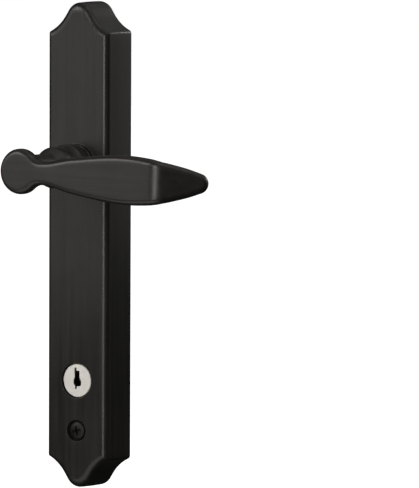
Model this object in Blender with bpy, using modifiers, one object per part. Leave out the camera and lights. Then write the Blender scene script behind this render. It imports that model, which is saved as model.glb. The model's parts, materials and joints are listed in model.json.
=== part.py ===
"""Outside lever plate of a screen door latch.

Every piece is drawn in the door frame: x to the right, y up, z out of the door towards the person
who opens it, with the lever's axis at x = y = 0 and the door's face at z = 0. The door_frame empty
turns that frame so that y stands up along the world's +Z and z looks along -Y.
"""

import bmesh
import bpy
import numpy as np
from math import asin, atan2, ceil, cos, degrees, pi, radians, sin, sqrt, tan

MM = 0.001

# Clearances
GAP = 0.3 * MM
OVERLAP = 0.6 * MM

# Escutcheon plate, a hollow die casting with ogee ends
PLATE_DEPTH = 18.4 * MM
PLATE_HALF_WIDTH = 16.1 * MM
PLATE_TOP = 71.85 * MM
PLATE_BOTTOM = -142.2 * MM
FRONT_WALL = 2.6 * MM
SIDE_WALL = 2.4 * MM
WALL_DRAFT = 0.3 * MM
EDGE_ROUND = 0.5 * MM
BEVEL_RADIUS = 4.15 * MM
BEVEL_START = radians(38.0)
FLANK_BULGE = 0.7 * MM
FLANK_PEAK = 0.85
BACK_ROUND = 0.8 * MM
END_APEX_RADIUS = 6.8 * MM
END_SLOPE = radians(56.5)
END_RUN = 1.6 * MM
END_SETBACK = 0.52
END_CROWN_LOSS = 0.55
SHOULDER_SLOPE = radians(26.5)
SHOULDER_RADIUS = 1.1 * MM
SHARPEST_SHOULDER = 0.3 * MM
RIB_THICKNESS = 1.6 * MM
RIB_FOOT = 8.0 * MM
RIB_PLACES = (45.0 * MM, -49.0 * MM)

# Lever hub on the plate and its bush
HUB_RING_RADIUS = 9.75 * MM
HUB_RING_HEIGHT = 2.2 * MM
HUB_RING_EDGE = 0.5 * MM
HUB_BOSS_RADIUS = 10.0 * MM
HUB_BOSS_LENGTH = 6.4 * MM
SHANK_RADIUS = 6.3 * MM
BUSH_WALL = 1.25 * MM
BUSH_FLANGE_RADIUS = 9.6 * MM
BUSH_FLANGE = 1.0 * MM

# Lever casting
LEVER_STANDOFF = 45.65 * MM
LEVER_THICKNESS = 5.5 * MM
LEVER_FRONT_ROUND = 2.2 * MM
LEVER_BACK_ROUND = 1.4 * MM
LEVER_DROOP = radians(2.0)
LEVER_DROP = 0.45 * MM
BULB_RADIUS = 9.9 * MM
WAIST_PLACE = 11.9 * MM
WAIST_HALF = 5.15 * MM
BLADE_STATIONS = ((27.4 * MM, 7.8 * MM), (52.3 * MM, 10.55 * MM), (72.0 * MM, 9.4 * MM), (84.9 * MM, 6.65 * MM))
TIP_PLACE = 95.4 * MM
TIP_RADIUS = 4.45 * MM
TIP_SLOPE = radians(19.0)
BEND_START = 68.15 * MM
BEND_RADIUS = 8.0 * MM
BEND_ANGLE = radians(45.0)
COLLAR_GROOVE_RADIUS = 9.2 * MM
COLLAR_GROOVE = 0.8 * MM
COLLAR_RADIUS = 9.8 * MM
COLLAR_LENGTH = 5.3 * MM
COLLAR_EDGE = 0.4 * MM
NECK_CREASE_RADIUS = 8.55 * MM
NECK_CREASE_PLACE = 6.0 * MM
NECK_BELL_RADIUS = 9.05 * MM
NECK_BELL_PLACE = 9.4 * MM
NECK_BELL_LENGTH = 6.3 * MM
NECK_THROAT_RADIUS = 6.4 * MM
NECK_FLARE = 4.5 * MM
NECK_ROOT = 1.6 * MM
NECK_INSET = 2.4 * MM
SHANK_SQUARE = 8.6 * MM
TANG_SQUARE = 6.8 * MM
TANG_LENGTH = 5.6 * MM

# Stack behind the hub
WASHER_THICKNESS = 0.8 * MM
CAM_THICKNESS = 2.0 * MM
CAM_RADIUS = 9.0 * MM
CAM_ARM_REACH = 15.3 * MM
CAM_ARM_WIDTH = 3.6 * MM
CAM_FINGER_PLACE = 13.2 * MM
CAM_FINGER_RADIUS = 1.4 * MM
STOP_CIRCLE = 13.8 * MM
STOP_RADIUS = 2.0 * MM
LEVER_SWING = radians(55.0)
RING_THICKNESS = 0.9 * MM
RING_REACH = 8.3 * MM
RING_GROOVE_RADIUS = 5.0 * MM
RING_MOUTH = radians(60.0)
SPRING_WIRE = 1.1 * MM
SPRING_TURNS = 2
SPRING_ARM_REACH = 14.4 * MM
SPRING_FOOT_ANGLE = radians(250.0)
SPRING_POST_RADIUS = 1.5 * MM
SHEET_THICKNESS = 1.0 * MM
SHEET_BACK = 1.4 * MM
COVER_HALF_WIDTH = 11.5 * MM
COVER_MARGIN = 4.4 * MM

# Drive socket for the inside unit's spindle
SLEEVE_RADIUS = 6.2 * MM
SLEEVE_END = -11.0 * MM
SLEEVE_PIN_RADIUS = 1.0 * MM

# Threaded posts that the inside units bolt to
BOLT_SPACING = 44.45 * MM
POST_RADIUS = 3.9 * MM
POST_FLANGE_RADIUS = 5.4 * MM
POST_FLANGE = 1.0 * MM
POST_BOSS_RADIUS = 6.2 * MM
POST_SEAT = 4.0 * MM
POST_DEPTH = 8.0 * MM
POST_END = -10.0 * MM
POST_BORE = 1.85 * MM
POST_BORE_DEPTH = 16.0 * MM
POST_CHAMFER = 0.5 * MM

# Small screws that hold the sheet pieces
SMALL_SCREW_RADIUS = 1.2 * MM
SMALL_HEAD_RADIUS = 2.3 * MM
SMALL_HEAD = 0.9 * MM
SMALL_SCREW_LENGTH = 7.0 * MM
SMALL_BOSS_RADIUS = 3.0 * MM
SMALL_SCREW_POINT = 0.8 * MM

# Key lock
LOCK_DROP = 94.8 * MM
PLUG_HEAD_RADIUS = 7.42 * MM
PLUG_HEAD_SUNK = 0.8 * MM
PLUG_HEAD_EDGE = 0.25 * MM
PLUG_RADIUS = 6.35 * MM
PLUG_END = -12.0 * MM
BARREL_RADIUS = 9.6 * MM
BARREL_TAIL_RADIUS = 8.3 * MM
BARREL_END = -9.0 * MM
BIBLE_HALF_WIDTH = 4.2 * MM
BIBLE_TOP = 16.2 * MM
BIBLE_FRONT = 14.4 * MM
BIBLE_BACK = -4.8 * MM
HOUSING_WALL = 1.8 * MM
HOUSING_END = 6.0 * MM
PIN_COUNT = 5
PIN_PITCH = 3.7 * MM
FIRST_PIN = 12.2 * MM
PIN_RADIUS = 1.2 * MM
PIN_CLEARANCE = 0.25 * MM
PIN_TIP = 0.6 * MM
KEY_PIN_LENGTH = 4.4 * MM
KEY_PIN_TRAVEL = 1.2 * MM
DRIVER_LENGTH = 4.0 * MM
CHAMBER_LID = 1.0 * MM
CHAMBER_LID_HALF_WIDTH = 2.4 * MM
PIN_SPRING_WIRE = 0.4 * MM
PIN_SPRING_TURNS = 3
CLIP_THICKNESS = 1.0 * MM
CLIP_REACH = 8.0 * MM
CLIP_GROOVE_RADIUS = 5.2 * MM
TAIL_THICKNESS = 1.6 * MM
TAIL_RADIUS = 6.0 * MM
TAIL_SLOT = (1.2 * MM, 3.0 * MM)
TAIL_SCREW_PLACE = 4.2 * MM
TAIL_SCREW_RADIUS = 0.7 * MM
TAIL_HEAD_RADIUS = 1.2 * MM
TAIL_HEAD = 0.7 * MM
TAIL_SCREW_LENGTH = 3.2 * MM
KEYWAY_END = -8.0 * MM
RETAINER_HALF_WIDTH = 11.5 * MM
RETAINER_LOW_SCREW = 14.6 * MM
RETAINER_MARGIN = 4.2 * MM

# The keyway's section on the plug's face: a thin ward at the top, a wide belly and a foot below
KEYWAY = [
    (-1.45, 5.65), (-0.4, 5.65), (-0.4, 4.3), (1.25, 4.3), (1.2, 1.3), (1.7, 0.5), (2.1, -0.5), (2.05, -1.65),
    (1.7, -2.45), (-0.1, -2.6), (-0.3, -3.8), (-1.2, -3.8), (-1.15, -2.45), (-1.85, -1.65), (-2.05, -0.5),
    (-1.85, 0.5), (-1.4, 1.3),
]

# Plate screw
SCREW_HEAD_RADIUS = 3.8 * MM
SCREW_HEAD = 2.0 * MM
SCREW_CROWN = 0.4 * MM
SCREW_SUNK = 0.2 * MM
SCREW_RADIUS = 2.05 * MM
SCREW_POINT = 4.0 * MM
SCREW_END = -13.0 * MM
COUNTERBORE_RADIUS = 4.9 * MM
SCREW_BOSS_RADIUS = 6.4 * MM
SCREW_BOSS_END = 8.0 * MM
CROSS_REACH = 2.05 * MM
CROSS_WIDTH = 0.8 * MM
CROSS_DEPTH = 1.5 * MM
CROSS_TURN = radians(12.0)

# Sides of round pieces
FINE_SIDES = 44
ROUND_SIDES = 28
SMALL_SIDES = 12

# Heights worked out from the sizes above
FRONT = PLATE_DEPTH
CAVITY_ROOF = FRONT - FRONT_WALL
BEVEL_WIDTH = EDGE_ROUND * sin(BEVEL_START) + BEVEL_RADIUS * (1 - sin(BEVEL_START))
BEVEL_DROP = EDGE_ROUND * (1 - cos(BEVEL_START)) + BEVEL_RADIUS * cos(BEVEL_START)
HUB_TOP = FRONT + HUB_RING_HEIGHT
BOSS_END = CAVITY_ROOF - HUB_BOSS_LENGTH
BUSH_RADIUS = SHANK_RADIUS + GAP + BUSH_WALL
BUSH_END = BOSS_END - GAP - BUSH_FLANGE
WASHER_END = BUSH_END - GAP - WASHER_THICKNESS
CAM_TOP = WASHER_END - GAP
CAM_END = CAM_TOP - CAM_THICKNESS
RING_TOP = CAM_END - GAP
RING_END = RING_TOP - RING_THICKNESS
SQUARE_END = RING_END - OVERLAP
TANG_END = SQUARE_END - TANG_LENGTH
FACE = FRONT + LEVER_STANDOFF
SHEET_FRONT = SHEET_BACK + SHEET_THICKNESS
POST_PLACE = BOLT_SPACING / 2
SMALL_SCREW_PLACE = POST_PLACE + POST_BOSS_RADIUS + SMALL_BOSS_RADIUS + GAP
COVER_HALF_LENGTH = SMALL_SCREW_PLACE + COVER_MARGIN
POST_FLANGE_TOP = POST_SEAT - GAP
CHAMBER_RADIUS = PIN_RADIUS + PIN_CLEARANCE
BARREL_BORE = PLUG_RADIUS + GAP
BARREL_FRONT = CAVITY_ROOF - GAP
BARREL_SHOULDER = SHEET_FRONT + GAP
CHAMBER_TOP = BIBLE_TOP - CHAMBER_LID - 2 * GAP
DRIVER_FOOT = PLUG_RADIUS + GAP + 0.1 * MM
PIN_SPRING_FOOT = DRIVER_FOOT + DRIVER_LENGTH + GAP
CLIP_TOP = BARREL_END - GAP
TAIL_TOP = PLUG_END - GAP
TAIL_END = TAIL_TOP - TAIL_THICKNESS

PARTS = bpy.data.collections.new("outside_lever_plate")
CUTTERS = bpy.data.collections.new("cutters")


def clear_scene():
    """Empty the scene, then add the two collections."""
    for obj in list(bpy.data.objects):
        bpy.data.objects.remove(obj)
    for collection in (PARTS, CUTTERS):
        bpy.context.scene.collection.children.link(collection)
    CUTTERS.hide_render = True


def finish(name, color, roughness, metallic):
    """A Principled material."""
    material = bpy.data.materials.new(name)
    material.use_nodes = True
    shader = material.node_tree.nodes["Principled BSDF"]
    shader.inputs["Base Color"].default_value = (*color, 1.0)
    shader.inputs["Roughness"].default_value = roughness
    shader.inputs["Metallic"].default_value = metallic
    material.diffuse_color = (*color, 1.0)
    return material


def empty(name, parent=None, place=(0, 0, 0), turn=(0, 0, 0)):
    """An empty that carries the pieces round an axis."""
    obj = bpy.data.objects.new(name, None)
    obj.parent = parent
    obj.location = place
    obj.rotation_euler = turn
    PARTS.objects.link(obj)
    return obj


def piece(name, data, material, parent, place=(0, 0, 0), turn=(0, 0, 0)):
    """A named solid of the product."""
    obj = bpy.data.objects.new(name, data)
    obj.parent = parent
    obj.location = place
    obj.rotation_euler = turn
    if not data.materials:
        data.materials.append(material)
    PARTS.objects.link(obj)
    if isinstance(data, bpy.types.Mesh) and data.polygons:
        data.shade_smooth()
        data.set_sharp_from_angle(angle=radians(35))
    return obj


def helper(data, parent, place=(0, 0, 0), turn=(0, 0, 0)):
    """A hidden shape that is joined to a piece or cut from it."""
    obj = bpy.data.objects.new("helper", data)
    obj.parent = parent
    obj.location = place
    obj.rotation_euler = turn
    obj.display_type = "WIRE"
    obj.hide_render = True
    CUTTERS.objects.link(obj)
    return obj


def combine(target, other, operation):
    """Join other to target, or cut it away."""
    modifier = target.modifiers.new(operation.lower(), "BOOLEAN")
    modifier.operation = operation
    modifier.solver = "EXACT"
    modifier.object = other


def to_mesh(bm, name="shape"):
    """The bmesh as a mesh with its faces pointing out."""
    bmesh.ops.recalc_face_normals(bm, faces=bm.faces)
    mesh = bpy.data.meshes.new(name)
    bm.to_mesh(mesh)
    bm.free()
    return mesh


def cylinder(radius, low, high, sides=ROUND_SIDES, top_radius=None):
    """A cylinder or cone along z."""
    bm = bmesh.new()
    end = radius if top_radius is None else top_radius
    bmesh.ops.create_cone(bm, cap_ends=True, segments=sides, radius1=radius, radius2=end, depth=high - low)
    bmesh.ops.translate(bm, verts=bm.verts, vec=(0, 0, (low + high) / 2))
    return to_mesh(bm)


def box(x_range, y_range, z_range):
    """A block between the given limits."""
    limits = np.array([x_range, y_range, z_range], float)
    bm = bmesh.new()
    bmesh.ops.create_cube(bm, size=1.0)
    bmesh.ops.scale(bm, verts=bm.verts, vec=limits[:, 1] - limits[:, 0])
    bmesh.ops.translate(bm, verts=bm.verts, vec=limits.mean(axis=1))
    return to_mesh(bm)


def square_bar(side, low, high):
    """A bar of square section along z."""
    return box((-side / 2, side / 2), (-side / 2, side / 2), (low, high))


def turned(profile, closed=False, sides=ROUND_SIDES):
    """A mesh and a Screw modifier's settings for a profile of (radius, z), listed top to bottom."""
    mesh = bpy.data.meshes.new("profile")
    count = len(profile)
    edges = [(i, i + 1) for i in range(count - 1)]
    if closed:
        edges.append((count - 1, 0))
    mesh.from_pydata([(r, 0, z) for r, z in profile], edges, [])
    return mesh, sides


def spin(obj, sides):
    """Turn the object's profile round its own z axis."""
    screw = obj.modifiers.new("turn", "SCREW")
    screw.axis = "Z"
    screw.steps = sides
    screw.render_steps = sides
    screw.use_merge_vertices = True
    screw.merge_threshold = 0.0001 * MM
    screw.use_smooth_shade = True
    return obj


def turned_piece(name, profile, material, parent, place=(0, 0, 0), turn=(0, 0, 0), closed=False, sides=ROUND_SIDES):
    """A turned solid from a profile of (radius, z)."""
    mesh, steps = turned(profile, closed, sides)
    return spin(piece(name, mesh, material, parent, place, turn), steps)


def circle(radius, centre=(0, 0), sides=ROUND_SIDES, start=0.0):
    """Points round a circle."""
    angles = start + np.arange(sides) * 2 * pi / sides
    return [(centre[0] + radius * cos(a), centre[1] + radius * sin(a)) for a in angles]


def arc(radius, first, last, centre=(0, 0), steps=24):
    """Points along an arc."""
    return [(centre[0] + radius * cos(a), centre[1] + radius * sin(a)) for a in np.linspace(first, last, steps)]


def stadium(half_width, low, high, steps=14):
    """A slot shape along y with round ends."""
    top = arc(half_width, 0, pi, (0, high - half_width), steps)
    bottom = arc(half_width, pi, 2 * pi, (0, low + half_width), steps)
    return top + bottom


def flat(outlines, low, high):
    """A flat outline with its holes, extruded between two heights, as a mesh."""
    curve = bpy.data.curves.new("flat", "CURVE")
    curve.dimensions = "2D"
    curve.fill_mode = "BOTH"
    curve.extrude = (high - low) / 2
    for outline in outlines:
        spline = curve.splines.new("POLY")
        spline.points.add(len(outline) - 1)
        for point, (x, y) in zip(spline.points, outline):
            point.co = (x, y, 0, 1)
        spline.use_cyclic_u = True
    return curve_mesh(curve, (low + high) / 2)


def curve_mesh(curve, lift=0.0):
    """The curve as a closed mesh, moved along z."""
    obj = bpy.data.objects.new("curve", curve)
    bpy.context.scene.collection.objects.link(obj)
    graph = bpy.context.evaluated_depsgraph_get()
    mesh = bpy.data.meshes.new_from_object(obj.evaluated_get(graph))
    bpy.data.objects.remove(obj)
    bm = bmesh.new()
    bm.from_mesh(mesh)
    bmesh.ops.remove_doubles(bm, verts=bm.verts, dist=0.0001 * MM)
    bmesh.ops.translate(bm, verts=bm.verts, vec=(0, 0, lift))
    bm.to_mesh(mesh)
    bm.free()
    return mesh


def wire(points, diameter):
    """A round wire through the points, as a curve."""
    curve = bpy.data.curves.new("wire", "CURVE")
    curve.dimensions = "3D"
    curve.bevel_depth = diameter / 2
    curve.bevel_resolution = 2
    curve.use_fill_caps = True
    spline = curve.splines.new("POLY")
    spline.points.add(len(points) - 1)
    for point, place in zip(spline.points, points):
        point.co = (*place, 1)
    return curve


def loft(rings):
    """A closed solid through rings with the same number of points."""
    bm = bmesh.new()
    loops = [[bm.verts.new(p) for p in ring] for ring in rings]
    for upper, lower in zip(loops, loops[1:]):
        for i in range(len(upper)):
            j = (i + 1) % len(upper)
            bm.faces.new((upper[i], upper[j], lower[j], lower[i]))
    return bm, loops


def plate_outline(offset, shoulder_radius, draw=0.0):
    """The plate's outline, moved outwards by offset: round apex, straight run, hollow sweep, shoulder, side.

    Draw is how far the two points are pulled in at their apex besides, fading out towards the sides.
    """
    apex, sweep_span = END_APEX_RADIUS, sin(END_SLOPE) - sin(SHOULDER_SLOPE)
    sweep = (
        PLATE_HALF_WIDTH - apex * sin(END_SLOPE) - END_RUN - SHOULDER_RADIUS * (1 - sin(SHOULDER_SLOPE))
    ) / sweep_span
    sweep_x = apex * sin(END_SLOPE) + END_RUN + sweep * sin(END_SLOPE)
    sweep_y = -apex * (1 - cos(END_SLOPE)) - END_RUN * tan(END_SLOPE) + sweep * cos(END_SLOPE)
    reach = PLATE_HALF_WIDTH + offset
    last = asin((sweep_x + shoulder_radius - reach) / (sweep - offset + shoulder_radius))
    right = []
    for a in np.linspace(0, END_SLOPE, 6):
        right.append(((apex + offset) * sin(a), (apex + offset) * cos(a) - apex))
    for a in np.linspace(END_SLOPE, last, 6):
        right.append((sweep_x - (sweep - offset) * sin(a), sweep_y - (sweep - offset) * cos(a)))
    corner_x = reach - shoulder_radius
    corner_y = right[-1][1] - shoulder_radius * cos(last)
    for a in np.linspace(last, pi / 2, 4)[1:]:
        right.append((corner_x + shoulder_radius * sin(a), corner_y + shoulder_radius * cos(a)))
    right = [(x, y - draw * cos(pi / 2 * min(x / PLATE_HALF_WIDTH, 1.0))) for x, y in right]
    top = [(x, y + PLATE_TOP) for x, y in right]
    bottom = [(x, PLATE_BOTTOM - y) for x, y in reversed(right)]
    half = top + bottom
    return half + [(-x, y) for x, y in reversed(half[1:-1])]


def plate_skin():
    """Outer skin of the plate: small round, bowed bevel, ridge, crowned flank and a small round at the door."""
    levels = []
    for a in np.linspace(0, BEVEL_START, 3)[:-1]:
        levels.append((FRONT - EDGE_ROUND * (1 - cos(a)), -BEVEL_WIDTH + EDGE_ROUND * sin(a)))
    ridge = FRONT - BEVEL_DROP
    for a in np.linspace(BEVEL_START, pi / 2, 5):
        levels.append((ridge + BEVEL_RADIUS * cos(a), -BEVEL_RADIUS * (1 - sin(a))))
    flank = ridge - BACK_ROUND
    edge = FLANK_BULGE * (1 - ((1 - FLANK_PEAK) / FLANK_PEAK) ** 2)
    for u in np.linspace(0, 1, 5)[1:]:
        levels.append((ridge - flank * u, FLANK_BULGE * (1 - ((u - FLANK_PEAK) / FLANK_PEAK) ** 2)))
    for a in np.linspace(0, pi / 2, 3)[1:]:
        levels.append((BACK_ROUND * (1 - sin(a)), edge - BACK_ROUND * (1 - cos(a))))
    rings = []
    for z, offset in levels:
        radius = max(SHOULDER_RADIUS + offset, SHARPEST_SHOULDER)
        # The bevel is wider round the points, and the flank is less crowned there
        draw = END_SETBACK * max(-offset, 0.0) + END_CROWN_LOSS * max(offset, 0.0)
        rings.append([(x, y, z) for x, y in plate_outline(offset, radius, draw)])
    bm, loops = loft(rings)
    bm.faces.new(loops[0])
    bm.faces.new(loops[-1])
    return to_mesh(bm, "escutcheon_plate")


def plate_cavity():
    """The hollow behind the front wall, open at the door, with draft on its sides."""
    rings = []
    for z, offset in ((CAVITY_ROOF, -SIDE_WALL - WALL_DRAFT), (-OVERLAP, -SIDE_WALL + WALL_DRAFT)):
        rings.append([(x, y, z) for x, y in plate_outline(offset, SHOULDER_RADIUS)])
    bm, loops = loft(rings)
    bm.faces.new(loops[0])
    bm.faces.new(loops[-1])
    return to_mesh(bm)


def polar(radius, angle, z=0.0):
    """A place at an angle from +x, counted anticlockwise as seen by the person outside."""
    return (radius * cos(angle), radius * sin(angle), z)


def cam_rest_angle():
    """The cam's arm at rest, so that its swing is centred on the upright."""
    return pi / 2 + LEVER_SWING / 2


def stop_angle():
    """How far a stop's centre lies past the arm's centre line where the two nearly touch."""
    return asin((STOP_RADIUS + CAM_ARM_WIDTH / 2 + GAP) / STOP_CIRCLE)


def lock_features(plate, lock_axis):
    """Bore, housing, clamp screw bosses and pin block pocket of the key lock."""
    inner = BARREL_RADIUS + GAP
    roof = CAVITY_ROOF + OVERLAP
    combine(plate, helper(cylinder(inner + HOUSING_WALL, HOUSING_END, roof), lock_axis), "UNION")
    for y in (-RETAINER_LOW_SCREW, SMALL_SCREW_PLACE):
        boss = cylinder(SMALL_BOSS_RADIUS, SHEET_FRONT + GAP, roof, SMALL_SIDES)
        combine(plate, helper(boss, lock_axis, (0, y, 0)), "UNION")
    post_boss(plate, lock_axis, POST_PLACE)
    screw_boss = cylinder(SCREW_BOSS_RADIUS, SCREW_BOSS_END, roof)
    combine(plate, helper(screw_boss, lock_axis, (0, -POST_PLACE, 0)), "UNION")

    combine(plate, helper(cylinder(inner, -OVERLAP, CAVITY_ROOF), lock_axis), "DIFFERENCE")
    bore = cylinder(PLUG_HEAD_RADIUS + GAP, 0, FRONT + OVERLAP, FINE_SIDES)
    combine(plate, helper(bore, lock_axis), "DIFFERENCE")
    pocket = box((-BIBLE_HALF_WIDTH - GAP, BIBLE_HALF_WIDTH + GAP), (0, BIBLE_TOP + GAP), (-OVERLAP, BIBLE_FRONT + GAP))
    combine(plate, helper(pocket, lock_axis), "DIFFERENCE")
    for y in (-RETAINER_LOW_SCREW, SMALL_SCREW_PLACE):
        combine(plate, helper(small_screw_hole(), lock_axis, (0, y, 0)), "DIFFERENCE")
    post_pocket(plate, lock_axis, POST_PLACE)
    seat = FRONT - SCREW_SUNK - SCREW_HEAD - GAP
    counterbore = cylinder(COUNTERBORE_RADIUS, seat, FRONT + OVERLAP, FINE_SIDES)
    combine(plate, helper(counterbore, lock_axis, (0, -POST_PLACE, 0)), "DIFFERENCE")
    screw_hole = cylinder(SCREW_RADIUS + GAP, 0, FRONT)
    combine(plate, helper(screw_hole, lock_axis, (0, -POST_PLACE, 0)), "DIFFERENCE")


def small_screw_hole():
    """Hole for a small screw."""
    return cylinder(SMALL_SCREW_RADIUS + GAP, 0, SHEET_FRONT + SMALL_SCREW_LENGTH + GAP, SMALL_SIDES)


def post_boss(plate, axis, y):
    """Boss that a threaded post is pressed into."""
    boss = cylinder(POST_BOSS_RADIUS, POST_SEAT, CAVITY_ROOF + OVERLAP)
    combine(plate, helper(boss, axis, (0, y, 0)), "UNION")


def post_pocket(plate, axis, y):
    """Blind hole of a threaded post."""
    pocket = cylinder(POST_RADIUS + GAP, 0, POST_SEAT + POST_DEPTH + GAP)
    combine(plate, helper(pocket, axis, (0, y, 0)), "DIFFERENCE")


def hub_features(plate, lever_axis):
    """Raised ring, inner boss, stops and screw bosses round the lever's axis."""
    roof = CAVITY_ROOF + OVERLAP
    mesh, sides = turned(
        [
            (0, HUB_TOP),
            (HUB_RING_RADIUS - HUB_RING_EDGE, HUB_TOP),
            (HUB_RING_RADIUS, HUB_TOP - HUB_RING_EDGE),
            (HUB_RING_RADIUS, FRONT - OVERLAP),
            (0, FRONT - OVERLAP),
        ],
        sides=FINE_SIDES,
    )
    combine(plate, spin(helper(mesh, lever_axis), sides), "UNION")
    combine(plate, helper(cylinder(HUB_BOSS_RADIUS, BOSS_END, roof), lever_axis), "UNION")
    rest, lap = cam_rest_angle(), stop_angle()
    for angle in (rest + lap, rest - LEVER_SWING - lap):
        stop = cylinder(STOP_RADIUS, CAM_END, roof, SMALL_SIDES)
        combine(plate, helper(stop, lever_axis, polar(STOP_CIRCLE, angle)), "UNION")
    spring_post = cylinder(SPRING_POST_RADIUS, BOSS_END, roof, SMALL_SIDES)
    combine(plate, helper(spring_post, lever_axis, polar(STOP_CIRCLE, spring_post_angle())), "UNION")
    for sign in (1, -1):
        boss = cylinder(SMALL_BOSS_RADIUS, SHEET_FRONT + GAP, roof, SMALL_SIDES)
        combine(plate, helper(boss, lever_axis, (0, sign * SMALL_SCREW_PLACE, 0)), "UNION")
        post_boss(plate, lever_axis, sign * POST_PLACE)
    combine(plate, helper(cylinder(BUSH_RADIUS + GAP, 0, HUB_TOP + OVERLAP), lever_axis), "DIFFERENCE")
    for sign in (1, -1):
        combine(plate, helper(small_screw_hole(), lever_axis, (0, sign * SMALL_SCREW_PLACE, 0)), "DIFFERENCE")
        post_pocket(plate, lever_axis, sign * POST_PLACE)


def spring_post_angle():
    """The post that the spring's foot leans on, clockwise of it."""
    return SPRING_FOOT_ANGLE - (SPRING_POST_RADIUS + SPRING_WIRE / 2 + GAP) / STOP_CIRCLE


def make_plate(door, lever_axis, lock_axis, black):
    """The die-cast plate."""
    plate = piece("escutcheon_plate", plate_skin(), black, door)
    combine(plate, helper(plate_cavity(), door), "DIFFERENCE")
    side = PLATE_HALF_WIDTH - SIDE_WALL + OVERLAP
    for y in RIB_PLACES:
        rib = box((-side, side), (y - RIB_THICKNESS / 2, y + RIB_THICKNESS / 2), (RIB_FOOT, CAVITY_ROOF + OVERLAP))
        combine(plate, helper(rib, door), "UNION")
    hub_features(plate, lever_axis)
    lock_features(plate, lock_axis)
    return plate


def smooth_through(stations, count):
    """A smooth curve through (place, half width, slope) stations, as cubic spans."""
    out = []
    for (x0, w0, m0), (x1, w1, m1) in zip(stations, stations[1:]):
        t = np.linspace(0, 1, max(2, ceil(count * (x1 - x0) / (stations[-1][0] - stations[0][0]))) + 1)[:-1]
        span = x1 - x0
        w = (
            w0 * (2 * t**3 - 3 * t**2 + 1)
            + m0 * span * (t**3 - 2 * t**2 + t)
            + w1 * (3 * t**2 - 2 * t**3)
            + m1 * span * (t**3 - t**2)
        )
        out += list(zip(x0 + t * span, w))
    return out + [(stations[-1][0], stations[-1][1])]


def lever_edge():
    """Upper edge of the lever's face along its length: bulb, waist, blade and tip, as (place, half width)."""
    # The waist's hollow is an arc that touches the bulb's circle and runs level at the waist
    hollow = (WAIST_PLACE**2 + WAIST_HALF**2 - BULB_RADIUS**2) / (2 * (BULB_RADIUS - WAIST_HALF))
    touch = atan2(WAIST_HALF + hollow, WAIST_PLACE)
    bulb = [(BULB_RADIUS * cos(a), BULB_RADIUS * sin(a)) for a in np.linspace(pi, touch, 17)]
    waist = [
        (WAIST_PLACE - hollow * cos(a), WAIST_HALF + hollow - hollow * sin(a))
        for a in np.linspace(touch, pi / 2, 6)[1:-1]
    ]
    joint = (TIP_PLACE - TIP_RADIUS * (1 - sin(TIP_SLOPE)), TIP_RADIUS * cos(TIP_SLOPE))
    places = [(WAIST_PLACE, WAIST_HALF), *BLADE_STATIONS, joint]
    slopes = [0.0]
    for before, after in zip(places, places[2:]):
        slopes.append((after[1] - before[1]) / (after[0] - before[0]))
    slopes.append(-tan(TIP_SLOPE))
    stations = [(x, w, m) for (x, w), m in zip(places, slopes)]
    blade = smooth_through(stations, 24)
    tip_centre = TIP_PLACE - TIP_RADIUS
    tip = [
        (tip_centre + TIP_RADIUS * sin(a), TIP_RADIUS * cos(a)) for a in np.linspace(TIP_SLOPE, pi / 2, 7)[1:]
    ]
    return bulb + waist + blade + tip


def inset(edge, amount):
    """The edge moved in by amount, square to itself; its two ends stay on the centre line."""
    points = np.array(edge)
    along = np.gradient(points, axis=0)
    along[0], along[-1] = (0, 1), (0, -1)
    along /= np.linalg.norm(along, axis=1)[:, None]
    normal = np.column_stack([along[:, 1], -along[:, 0]])
    moved = points + amount * normal
    moved[0, 1] = moved[-1, 1] = 0.0
    return moved


def bend(place, side, z):
    """A point of the straight lever carried round the bend to the door, then turned down by the droop."""
    below = FACE - z
    turn = min(max(place - BEND_START, 0.0) / BEND_RADIUS, BEND_ANGLE)
    past = max(place - BEND_START - BEND_RADIUS * BEND_ANGLE, 0.0)
    x = min(place, BEND_START) + (BEND_RADIUS - below) * sin(turn) + past * cos(turn)
    height = FACE - BEND_RADIUS + (BEND_RADIUS - below) * cos(turn) - past * sin(turn)
    return (
        x * cos(LEVER_DROOP) + side * sin(LEVER_DROOP),
        side * cos(LEVER_DROOP) - x * sin(LEVER_DROOP) - LEVER_DROP,
        height,
    )


def lever_blade():
    """Bulb and blade: one outline with rounded edges, bent back near its tip."""
    edge = lever_edge()
    back = FACE - LEVER_THICKNESS
    levels = [
        (FACE - LEVER_FRONT_ROUND * (1 - cos(a)), LEVER_FRONT_ROUND * (1 - sin(a))) for a in np.linspace(0, pi / 2, 5)
    ]
    levels += [
        (back + LEVER_BACK_ROUND * (1 - sin(a)), LEVER_BACK_ROUND * (1 - cos(a))) for a in np.linspace(0, pi / 2, 4)
    ]
    rings = []
    for z, amount in levels:
        upper = inset(edge, amount)
        lower = upper[-2:0:-1] * (1, -1)
        rings.append([bend(x, y, z) for x, y in np.vstack([upper, lower])])
    bm, loops = loft(rings)
    count = len(edge)
    for loop in (loops[0], loops[-1]):
        # The face is a row of strips from the upper edge to the lower, so that it follows the bend
        for i in range(count - 1):
            corners = [loop[i], loop[i + 1], loop[(-i - 1) % len(loop)], loop[-i % len(loop)]]
            bm.faces.new(list(dict.fromkeys(corners)))
    return to_mesh(bm, "lever_handle")


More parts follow.
